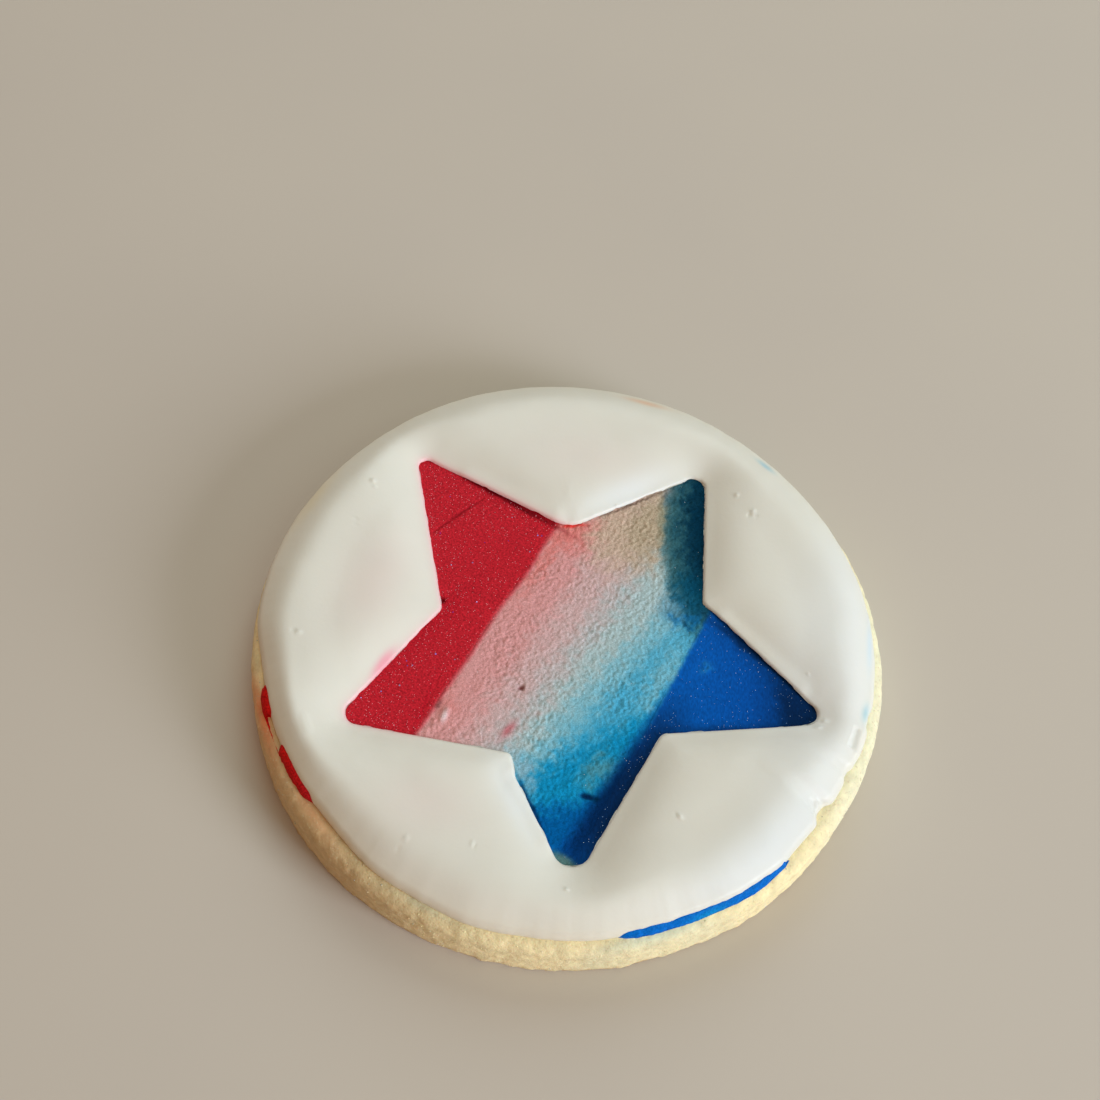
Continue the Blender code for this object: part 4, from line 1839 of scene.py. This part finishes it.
# Painted light and painted shade on the white: cooler lit and greyer shaded stretches, painted highlights, and the
# stains in it.
WHITE_PASSES = (
    # Painted light: cooler, brighter white on the right side, where the window light falls.
    Mist((34.0, -2.0), 26.0, 8.0, 80.0, Tint.LIT_MILK, 0.8, 1.5),
    Mist((29.0, -27.0), 20.0, 5.0, 42.0, Tint.SHADED_MILK, 0.8, 1.2),
    # Painted highlights on the white beside the star's upper and lower sides.
    Mist((5.5, 22.6), 7.0, 2.0, 34.0, Tint.HIGHLIGHT_WHITE, 0.7),
    Mist((-4.6, -23.6), 6.5, 2.0, -60.0, Tint.HIGHLIGHT_WHITE, 0.7),
    Mist((-26.0, 3.0), 8.0, 4.5, 80.0, Tint.PINK_BLEED, 0.13),
    Mist((-14.8, -26.5), 6.0, 4.0, 0.0, Tint.PINK_BLEED, 0.10),
    Mist((-1.0, 27.0), 9.0, 4.0, 0.0, Tint.PINK_BLEED, 0.08),
    Mist((-23.1, -8.2), 2.3, 0.75, 66.0, Tint.PINK_SMEAR, 0.85, 1.3),
    Mist((39.2, 3.5), 4.0, 0.5, 88.0, Tint.ICE_BLUE, 0.7),
    Mist((38.6, -6.4), 1.2, 0.5, 80.0, Tint.SKY_STAIN, 0.6),
    Mist((24.6, 30.0), 1.4, 0.5, -38.0, Tint.SKY_STAIN, 0.6),
    Mist((7.0, 38.4), 2.8, 0.6, -8.0, Tint.APRICOT, 0.45),
    Mist((-36.5, 15.5), 5.0, 1.2, 70.0, Tint.CREAM, 0.7),
)


# ---- Scattered specks ----


class Speck(Enum):
    """Shapes of the scattered specks: the node that makes one of unit size, and the node's inputs."""

    FLAKE = ("GeometryNodeMeshCylinder", {"Vertices": 6, "Radius": 0.5, "Depth": 0.18})
    CRYSTAL = ("GeometryNodeMeshCube", {"Size": (1.0, 0.8, 0.7)})
    CRUMB = ("GeometryNodeMeshIcoSphere", {"Radius": 0.5, "Subdivisions": 1})


@dataclass(frozen=True)
class Sprinkle:
    """Specks scattered over a surface with Geometry Nodes.

    Args:
        name: name of the finished piece.
        slot: material slot of the solid that the specks lie on.
        speck: shape of one speck.
        density: specks on each square millimetre where the surface asks for them fully.
        sizes: least and greatest size in millimetres.
        lift: how far a speck's middle stands off the surface, in millimetres.
        tilt: how far a speck tips, in degrees.
        seed: fixes the scatter.
        finish: the specks' own finish. Without one they take the surface's.
    """

    name: str
    slot: str
    speck: Speck
    density: float
    sizes: tuple[float, float]
    lift: float
    tilt: float
    seed: int
    finish: SparkFinish | None = None

    def tree(self) -> bpy.types.NodeTree:
        """Build the scattering tree with named inputs.

        Returns:
            The tree, with an input for each thing that can be set.
        """
        tree = bpy.data.node_groups.new(self.name + "_scatter", "GeometryNodeTree")
        face = tree.interface
        face.new_socket("Geometry", in_out="INPUT", socket_type="NodeSocketGeometry")
        for name in ("Density", "Smallest", "Largest", "Lift", "Tilt"):
            face.new_socket(name, in_out="INPUT", socket_type="NodeSocketFloat")
        face.new_socket("Seed", in_out="INPUT", socket_type="NodeSocketInt")
        face.new_socket("Finish", in_out="INPUT", socket_type="NodeSocketMaterial")
        face.new_socket("Geometry", in_out="OUTPUT", socket_type="NodeSocketGeometry")
        desk = NodeDesk(tree)
        given = desk.add("NodeGroupInput").outputs
        wanted = desk.add("GeometryNodeInputNamedAttribute", {"Name": SPARKLE}, data_type="FLOAT")
        inputs = {0: given["Density"], 1: wanted.outputs["Attribute"]}
        thick = desk.add("ShaderNodeMath", inputs, operation="MULTIPLY")
        inputs = {"Mesh": given["Geometry"], "Density": thick.outputs["Value"], "Seed": given["Seed"]}
        spread = desk.add("GeometryNodeDistributePointsOnFaces", inputs)
        inputs = {0: spread.outputs["Normal"], "Scale": given["Lift"]}
        rise = desk.add("ShaderNodeVectorMath", inputs, operation="SCALE")
        inputs = {"Geometry": spread.outputs["Points"], "Offset": rise.outputs["Vector"]}
        lifted = desk.add("GeometryNodeSetPosition", inputs)
        inputs = {"Min": (-1.0, -1.0, -math.pi), "Max": (1.0, 1.0, math.pi), "Seed": given["Seed"]}
        lean = desk.add("FunctionNodeRandomValue", inputs, data_type="FLOAT_VECTOR")
        amount = desk.add("ShaderNodeCombineXYZ", {"X": given["Tilt"], "Y": given["Tilt"], "Z": 1.0})
        inputs = {0: lean.outputs["Value"], 1: amount.outputs["Vector"]}
        turned = desk.add("ShaderNodeVectorMath", inputs, operation="MULTIPLY")
        as_turn = desk.add("FunctionNodeEulerToRotation", {"Euler": turned.outputs["Vector"]})
        inputs = {"Rotation": spread.outputs["Rotation"], "Rotate By": as_turn.outputs["Rotation"]}
        rotate = desk.add("FunctionNodeRotateRotation", inputs, rotation_space="LOCAL")
        inputs = {2: given["Smallest"], 3: given["Largest"], "Seed": given["Seed"]}
        size = desk.add("FunctionNodeRandomValue", inputs, data_type="FLOAT")
        kind, shape = self.speck.value
        placed = desk.add("GeometryNodeInstanceOnPoints", {
            "Points": lifted.outputs["Geometry"],
            "Instance": desk.add(kind, shape).outputs["Mesh"],
            "Rotation": rotate.outputs["Rotation"],
            "Scale": size.outputs[1],
        })
        solid = desk.add("GeometryNodeRealizeInstances", {"Geometry": placed.outputs["Instances"]})
        inputs = {"Geometry": solid.outputs["Geometry"], "Material": given["Finish"]}
        dress = desk.add("GeometryNodeSetMaterial", inputs)
        desk.add("NodeGroupOutput", {"Geometry": dress.outputs["Geometry"]})
        return tree

    def build(self, surface: bpy.types.Object) -> bpy.types.Object:
        """Scatter the specks over a surface.

        Args:
            surface: mesh object that says how thickly the specks lie.

        Returns:
            A plain mesh object with all the specks.
        """
        finish = self.finish.build() if self.finish else surface.data.materials[0]
        host = add_object(self.name + "_host", surface.data.copy())
        tree = self.tree()
        modifier = host.modifiers.new("scatter", "NODES")
        modifier.node_group = tree
        values = {
            "Density": self.density / MM**2,
            "Smallest": self.sizes[0] * MM,
            "Largest": self.sizes[1] * MM,
            "Lift": self.lift * MM,
            "Tilt": math.radians(self.tilt),
            "Seed": self.seed,
            "Finish": finish,
        }
        for item in tree.interface.items_tree:
            if item.in_out == "INPUT" and item.name in values:
                modifier[item.identifier] = values[item.name]
        graph = bpy.context.evaluated_depsgraph_get()
        mesh = bpy.data.meshes.new_from_object(host.evaluated_get(graph))
        mesh.name = self.name
        host.modifiers.remove(modifier)
        bpy.data.objects.remove(host)
        return add_object(self.name, mesh)


SPRINKLES = (
    Sprinkle("glitter_red", "icing_red", Speck.FLAKE, 4.5, (0.045, 0.095), 0.015, 30.0, 4,
             SparkFinish("rosy_glitter_finish", Tint.BLUSH_SILVER, 0.35, 0.1)),
    Sprinkle("glitter_blue", "icing_blue", Speck.FLAKE, 1.5, (0.045, 0.095), 0.015, 30.0, 4,
             SparkFinish("icy_glitter_finish", Tint.ICE_SILVER, 0.35, 0.2)),
    Sprinkle("glitter_pale", "icing_pale", Speck.FLAKE, 0.9, (0.045, 0.095), 0.015, 30.0, 4,
             SparkFinish("silver_glitter_finish", Tint.SILVER, 0.35, 0.2)),
    Sprinkle("glitter_violet", "icing_red", Speck.FLAKE, 0.07, (0.14, 0.24), 0.03, 25.0, 9,
             SparkFinish("violet_glitter_finish", Tint.VIOLET, 0.25, 0.5)),
    Sprinkle("sugar_grains", "biscuit", Speck.CRYSTAL, 0.035, (0.10, 0.20), -0.01, 60.0, 12,
             SparkFinish("sugar_finish", Tint.PALE_BUTTER, 0.2, 0.0, 0.3)),
    Sprinkle("loose_crumbs", "biscuit", Speck.CRUMB, 0.30, (0.12, 0.34), -0.06, 90.0, 15),
)


# ---- Studio ----


@dataclass(frozen=True)
class SoftBox:
    """A square studio light aimed at the cookie.

    Args:
        name: the light's name.
        azimuth: compass angle it shines from in degrees, 0 along +X, anticlockwise.
        elevation: angle above the floor in degrees.
        distance: how far away it is, in millimetres.
        size: its side in millimetres.
        power: its power in watts.
        colour: linear colour.
    """

    name: str
    azimuth: float
    elevation: float
    distance: float
    size: float
    power: float
    colour: tuple[float, float, float]

    def build(self) -> bpy.types.Object:
        """Hang the light.

        Returns:
            The light's object.
        """
        data = bpy.data.lights.new(self.name, "AREA")
        data.size = self.size * MM
        data.energy = self.power
        data.color = self.colour
        light = add_object(self.name, data)
        turn, rise = math.radians(self.azimuth), math.radians(self.elevation)
        toward = Vector((math.cos(turn) * math.cos(rise), math.sin(turn) * math.cos(rise), math.sin(rise)))
        light.location = toward * self.distance * MM
        light.rotation_euler = toward.to_track_quat("Z", "Y").to_euler()
        return light


@dataclass(frozen=True)
class Studio:
    """Floor, lights and camera."""

    lights: tuple[SoftBox, ...] = (
        SoftBox("window_light", -30.0, 20.0, 900.0, 350.0, 7.7, (0.79, 0.86, 0.97)),
        SoftBox("high_light", -30.0, 65.0, 900.0, 900.0, 2.0, (0.58, 1.0, 0.93)),
        SoftBox("back_light", 90.0, 40.0, 900.0, 700.0, 4.0, (0.80, 0.93, 0.96)),
        SoftBox("front_light", -90.0, 40.0, 900.0, 700.0, 1.0, (1.0, 0.57, 0.36)),
    )
    sky: tuple[float, float, float] = (1.0, 0.5, 0.25)
    sky_strength: float = 0.235
    camera_place: tuple[float, float, float] = (-4.0, -87.8, 168.7)
    camera_elevation: float = 58.0
    camera_roll: float = 7.3
    lens: float = 45.82
    sensor: float = 36.0
    floor_side: float = 3000.0
    floor_drop: float = 0.03

    def build_floor(self) -> bpy.types.Object:
        """Lay the floor.

        Returns:
            The floor's object.
        """
        half, level = self.floor_side / 2.0 * MM, -self.floor_drop * MM
        corners = np.array([(-half, -half, level), (half, -half, level), (half, half, level), (-half, half, level)])
        floor = mesh_object("studio_floor", corners, [(0, 1, 2, 3)], smooth=False)
        floor.data.materials.append(FloorFinish().build())
        return floor

    def build_world(self) -> None:
        """Fill the room with a soft warm light."""
        world = bpy.data.worlds.new("studio_room")
        world.use_nodes = True
        background = world.node_tree.nodes["Background"]
        background.inputs["Color"].default_value = (*self.sky, 1.0)
        background.inputs["Strength"].default_value = self.sky_strength
        bpy.context.scene.world = world

    def build_camera(self) -> bpy.types.Object:
        """Set the camera.

        Returns:
            The camera's object.
        """
        data = bpy.data.cameras.new("studio_camera")
        data.lens = self.lens
        data.sensor_width = self.sensor
        data.clip_start = 0.01
        camera = add_object("studio_camera", data)
        rise, roll = math.radians(self.camera_elevation), math.radians(self.camera_roll)
        right = Vector((1.0, 0.0, 0.0))
        up = Vector((0.0, math.sin(rise), math.cos(rise)))
        back = Vector((0.0, -math.cos(rise), math.sin(rise)))
        across = right * math.cos(roll) + up * math.sin(roll)
        upward = up * math.cos(roll) - right * math.sin(roll)
        turn = Matrix((across, upward, back)).transposed().to_4x4()
        camera.matrix_world = Matrix.Translation(Vector(self.camera_place) * MM) @ turn
        bpy.context.scene.camera = camera
        return camera

    def build(self) -> bpy.types.Object:
        """Set up the whole studio.

        Returns:
            The floor's object.
        """
        self.build_world()
        for light in self.lights:
            light.build()
        self.build_camera()
        bpy.context.scene.view_settings.view_transform = "Standard"
        bpy.context.scene.view_settings.look = "None"
        return self.build_floor()


# ---- Assembly ----


def settle(piece: bpy.types.Object, slot: str, *nodes: str) -> None:
    """Fix a piece to the cookie's body and hide the solids it stands for.

    Args:
        piece: the finished piece.
        slot: the record's material slot; not used.
        nodes: solids that the piece replaces.
    """
    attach(piece, BODY)
    if nodes:
        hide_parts(*nodes)
    piece.data.calc_loop_triangles()
    LOG.info("%s: %d triangles", piece.name, len(piece.data.loop_triangles))


def main() -> None:
    """Build the cookie and its studio."""
    logging.basicConfig(level=logging.INFO, format="%(name)s %(message)s")
    detail = Detail.FULL
    levels = Levels.from_frame()
    star = StarOpening()
    coat = FirstCoat(levels, detail, star)
    surfaces = {"biscuit": Biscuit(levels, detail).build()}
    settle(surfaces["biscuit"], "biscuit", "biscuit")
    for band in Band:
        surfaces[band.value] = coat.build(band)
        settle(surfaces[band.value], band.value, band.value)
    settle(WhiteCoat(levels, detail, star, coat).build(), "icing_white", "icing_white")
    for sprinkle in SPRINKLES:
        specks = sprinkle.build(surfaces[sprinkle.slot])
        if sprinkle.speck is Speck.CRUMB:
            set_tone(specks, np.tile(Tint.SHORTBREAD.screen, (len(specks.data.vertices), 1)))
        settle(specks, sprinkle.slot)

    Studio().build()


if __name__ == "__main__":
    main()
